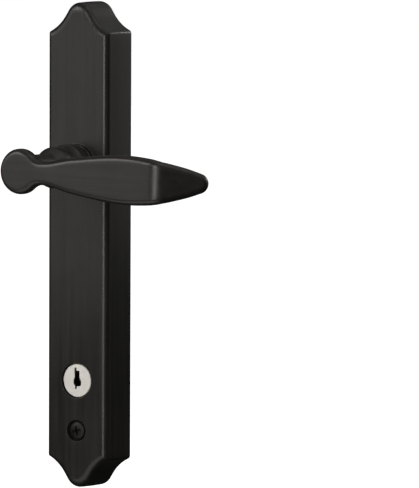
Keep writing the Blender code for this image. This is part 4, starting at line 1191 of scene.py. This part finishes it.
@dataclass(frozen=True)
class TurnedPosts:
    """The three threaded posts that the inside units bolt to. Sizes in mm."""

    steel: Material
    top: float = 12.0
    end: float = -10.0
    radius: float = 3.9
    collar: Triple = (5.4, 3.7, 2.7)
    bore: float = 1.85
    bore_top: float = 5.9
    drill_tip: float = 7.7
    pitch: float = 0.7
    thread: float = 0.16

    def post(self, name: str, up: float) -> Mesh:
        """A post: chamfered ends, a collar on its boss, and a bore whose wall is cut with a thread.

        Args:
            name: name of the mesh.
            up: its axis.

        Returns:
            The mesh.
        """
        radius, top, end, angle, centre = self.radius, self.top, self.end, circle(48), (0, up)
        wide, high, low = self.collar
        corners = [(0, top, 0), (radius - 0.5, top, 0.1), (radius, top - 0.5, 0.1), (radius, high, 0.1)]
        corners += [(wide, high, 0.2), (wide, low, 0.2), (radius, low, 0.15), (radius, end + 0.5, 0.1)]
        corners += [(radius - 0.5, end, 0.1), (self.bore + 0.35, end, 0.1), (self.bore, end + 0.35, 0)]
        out = np.linspace(end + 0.4, self.bore_top, 200)[:, None]
        phase = (angle / TURN + out / self.pitch) % 1.0
        wall = self.bore + self.thread * np.clip(1 - np.abs(phase - 0.5) / 0.4, 0, 1)
        wall[[0, -1]] = self.bore
        outside, tip = rounded_profile(corners, 4), np.array([[0, self.drill_tip]])
        outside, tip = revolve(outside, angle, centre), revolve(tip, angle, centre)
        return solid(name, np.concatenate([outside, turned(wall, angle, out, centre), tip]))

    def build(self) -> None:
        """Add the posts."""
        places = {"lever_post_upper": 0.0, "lever_post_lower": -2 * HALF_BOLTS, "lock_post": LOCK_UP}
        for name, up in places.items():
            mesh = self.post(f"threaded_{name}", up + HALF_BOLTS)
            add_piece(mesh, self.steel, Body.PLATE, Slot.STEEL, name)


@dataclass(frozen=True)
class ChamberSprings:
    """The five coil springs over the lock's driver pins, which shorten as their pins rise. Sizes in mm."""

    steel: Material
    places: tuple[float, ...] = (12.2, 8.5, 4.8, 1.1, -2.6)
    low: float = -83.53
    high: float = -80.72
    seat: float = -80.5
    radius: float = 0.94
    wire: float = 0.2
    turns: float = 3.0
    pressed: float = 0.70

    def coil(self, name: str, out: float) -> Mesh:
        """A helix of round wire about an upright axis.

        A point is the helix's point (radius cos a, rise of a, radius sin a) plus the wire's radius times
        (cos b n + sin b m), where n points away from the axis and m stands square to n and to the helix.

        Args:
            name: name of the mesh.
            out: the axis, out of the door.

        Returns:
            The mesh.
        """
        a = np.linspace(0, TURN * self.turns, int(24 * self.turns) + 1)[:, None]
        b = circle(10)[None, :, None]
        rise = (self.high - self.low) / (TURN * self.turns)
        zero = np.zeros_like(a)
        away = np.stack([np.cos(a), zero, np.sin(a)], axis=-1)
        middle = self.radius * away + np.stack([zero, self.low + rise * a, zero + out], axis=-1)
        along = np.stack([-self.radius * np.sin(a), zero + rise, self.radius * np.cos(a)], axis=-1)
        across = np.cross(along, away)
        across /= np.linalg.norm(across, axis=-1, keepdims=True)
        tube = middle + self.wire * (np.cos(b) * away + np.sin(b) * across)
        return solid(name, tube, 0, -1, sharp=50.0)

    def build(self) -> None:
        """Add the springs, each with a mesh of its own."""
        for number, out in enumerate(self.places, 1):
            mesh = self.coil(f"chamber_spring_{number}", out)
            spring = add_piece(mesh, self.steel, Body.PLATE, Slot.STEEL, f"driver_spring_{number}")
            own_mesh(spring)


def dress_nodes(frame: dict, finishes: dict[Slot, Material], special: dict[str, Material]) -> None:
    """Give each node of the frame the finish of its slot, or its own.

    Args:
        frame: the frame, with its nodes and record.
        finishes: finish of each slot.
        special: finish of each node that has its own.
    """
    for part in frame["record"]["subparts"]:
        node = frame["nodes"][part["node"]]
        finish = special.get(part["node"], finishes[Slot(part["material_slot"])])
        node.data.materials.clear()
        node.data.materials.append(finish)
        node.data.shade_smooth()
        LOG.info("%s wears %s", node.name, finish.name)


# Studio


@dataclass(frozen=True)
class Softbox:
    """A rectangular lamp: where it hangs, in degrees and metres, its size and its radiance."""

    name: str
    azimuth: float
    elevation: float
    distance: float
    width: float
    height: float
    radiance: float
    up: float = 0.0
    lying: bool = False

    def build(self) -> None:
        """Add the lamp, which looks at the object, or straight up if it lies.

        Its power is its radiance times pi times its area.
        """
        toward = direction(self.azimuth, self.elevation)
        data = bpy.data.lights.new(self.name, "AREA")
        data.shape = "RECTANGLE"
        data.size, data.size_y = self.width, self.height
        data.energy = self.radiance * np.pi * self.width * self.height
        lamp = new_object(self.name, data)
        lamp.location = toward * self.distance + Vector((0, 0, self.up))
        lamp.rotation_euler = (np.pi, 0, 0) if self.lying else toward.to_track_quat("Z", "Y").to_euler()
        lamp.visible_camera = False


SOFTBOXES = (
    Softbox("key_above_left", -39.0, 30.0, 1.6, 0.9, 0.46, 5.2),
    Softbox("key_skirt", -48.0, 13.0, 1.6, 1.2, 0.35, 1.2),
    Softbox("panel_left", -34.5, 0.0, 0.3, 0.3, 0.185, 0.72, up=0.009),
    Softbox("floor_bounce", -4.0, 0.0, 0.32, 0.46, 0.30, 1.15, up=-0.285, lying=True),
    Softbox("front_right_fill", 55.0, 8.0, 1.6, 0.6, 0.9, 0.27),
    Softbox("strip_front", 11.0, 4.0, 1.6, 0.48, 1.2, 6.2, up=0.1),
    Softbox("panel_behind_right", 142.0, 0.0, 0.35, 0.36, 0.32, 0.28, up=0.105),
    Softbox("shoulder_light", 152.0, 20.0, 1.6, 0.4, 0.42, 6.4),
    Softbox("fill_right", 80.0, 65.0, 1.8, 0.8, 0.8, 1.0),
)


def direction(azimuth: float, elevation: float) -> Vector:
    """Direction from the object towards a place round it: (sin a cos e, -cos a cos e, sin e).

    Args:
        azimuth: degrees to the right of the door's normal.
        elevation: degrees above the horizon.

    Returns:
        The direction.
    """
    a, e = np.radians(azimuth), np.radians(elevation)
    return Vector((np.sin(a) * np.cos(e), -np.cos(a) * np.cos(e), np.sin(e)))


@dataclass(frozen=True)
class Studio:
    """Camera at the photograph's angle, soft lights and a white floor. Sizes in mm and degrees."""

    azimuth: float = 34.5
    elevation: float = 4.07
    roll: float = 0.15
    distance: float = 2350.0
    aim: Triple = (0.0, -9.2, -34.95)
    scale: float = 0.4418
    sensor: float = 24.0
    frame: tuple[int, int] = (419, 488)
    lock: Triple = (0.0, -17.6, LOCK_UP)
    lock_pixel: Pair = (77.19, 380.47)
    floor_up: float = -300.0
    floor_half: float = 6000.0
    bright_side: Triple = (0.35, 0.25, 0.90)
    dome_edge: Pair = (0.35, 0.9)
    dome: Pair = (0.025, 0.38)

    def camera(self) -> None:
        """Place the camera, then turn it a little so that the lock's centre falls on its pixel."""
        data = bpy.data.cameras.new("camera")
        data.sensor_fit = "VERTICAL"
        data.sensor_height = self.sensor
        data.lens = self.sensor / self.frame[1] * self.distance / self.scale
        data.clip_start, data.clip_end = 0.01, 50.0
        camera = new_object("camera", data)
        back = direction(self.azimuth, self.elevation)
        right = direction(self.azimuth + 90.0, 0.0)
        place = (Vector(self.aim) + back * self.distance) * MM
        basis = Matrix((right, back.cross(right), back)).transposed()
        basis = basis @ Matrix.Rotation(np.radians(self.roll), 3, "Z")
        spread = self.sensor / data.lens / self.frame[1]
        goal = [(pixel - size / 2) * spread for pixel, size in zip(self.lock_pixel, self.frame)]
        to_lock = Vector(self.lock) * MM - place
        seen = basis.transposed() @ to_lock
        basis = basis @ Matrix.Rotation(np.arctan(goal[0]) + np.arctan(seen.x / seen.z), 3, "Y")
        seen = basis.transposed() @ to_lock
        basis = basis @ Matrix.Rotation(np.arctan(goal[1]) - np.arctan(seen.y / seen.z), 3, "X")
        camera.matrix_world = Matrix.Translation(place) @ basis.to_4x4()
        bpy.context.scene.camera = camera

    def world(self) -> None:
        """White for the camera, and for the light a grey dome that grows brighter on one side."""
        world = bpy.data.worlds.new("studio")
        bpy.context.scene.world = world
        board = NodeBoard(world)
        facts = {0: board.coords.node.outputs["Generated"], 1: self.bright_side}
        along = board.add("VectorMath", facts, operation="DOT_PRODUCT").outputs["Value"]
        dome = board.ramp(along, *zip(self.dome_edge, self.dome), smooth=True)
        camera = board.add("LightPath").outputs["Is Camera Ray"]
        facts = {"Strength": board.ramp(camera, (0.0, dome), (1.0, 1.0)), "Color": WHITE}
        board.feed(facts, board.tree.nodes["Background"])

    def floor(self) -> None:
        """A wide pale floor below the plate."""
        across = np.linspace(-self.floor_half, self.floor_half, 3)
        right, depth = np.meshgrid(across, across)
        shell = Shell()
        shell.grid(np.stack([right, np.full(right.shape, self.floor_up), depth], axis=-1))
        mesh = shell.mesh("floor")
        mesh.materials.append(StudioWhite().material())
        new_object("floor", mesh)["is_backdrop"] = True

    def build(self) -> None:
        """Set the camera, the world, the floor and the lamps."""
        self.camera()
        self.world()
        self.floor()
        for box in SOFTBOXES:
            box.build()
        bpy.context.scene.view_settings.view_transform = "Standard"


def box() -> list[list[float]]:
    """Lowest and highest corner of what stands in the scene now.

    Returns:
        The corners, in metres.
    """
    return [list(map(float, corner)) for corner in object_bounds()]


def main() -> dict[str, list[list[float]]]:
    """Build the scene.

    Returns:
        The boxes of the frame and of the dressed part.
    """
    logging.basicConfig(level=logging.INFO, format="%(message)s")
    for leftover in list(bpy.data.objects):
        bpy.data.objects.remove(leftover)
    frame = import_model()
    sizes = {"cad": box()}
    Studio().build()
    paint = PLATE_PAINT.material()
    finishes = {Slot.PAINT: paint} | {slot: metal.material() for slot, metal in METALS.items()}
    dress_nodes(frame, finishes, {"lock_plug": PLUG_FACE.material()})
    EscutcheonPlate(paint).build()
    LeverHandle(LIT_LEVER_PAINT.material(), LIT_NECK_PAINT.material()).build()
    PlateScrew(SCREW_PAINT.material()).build()
    TurnedPosts(finishes[Slot.STEEL]).build()
    ChamberSprings(finishes[Slot.STEEL]).build()
    sizes["visual"] = box()
    return sizes


if __name__ == "__main__":
    boxes = main()
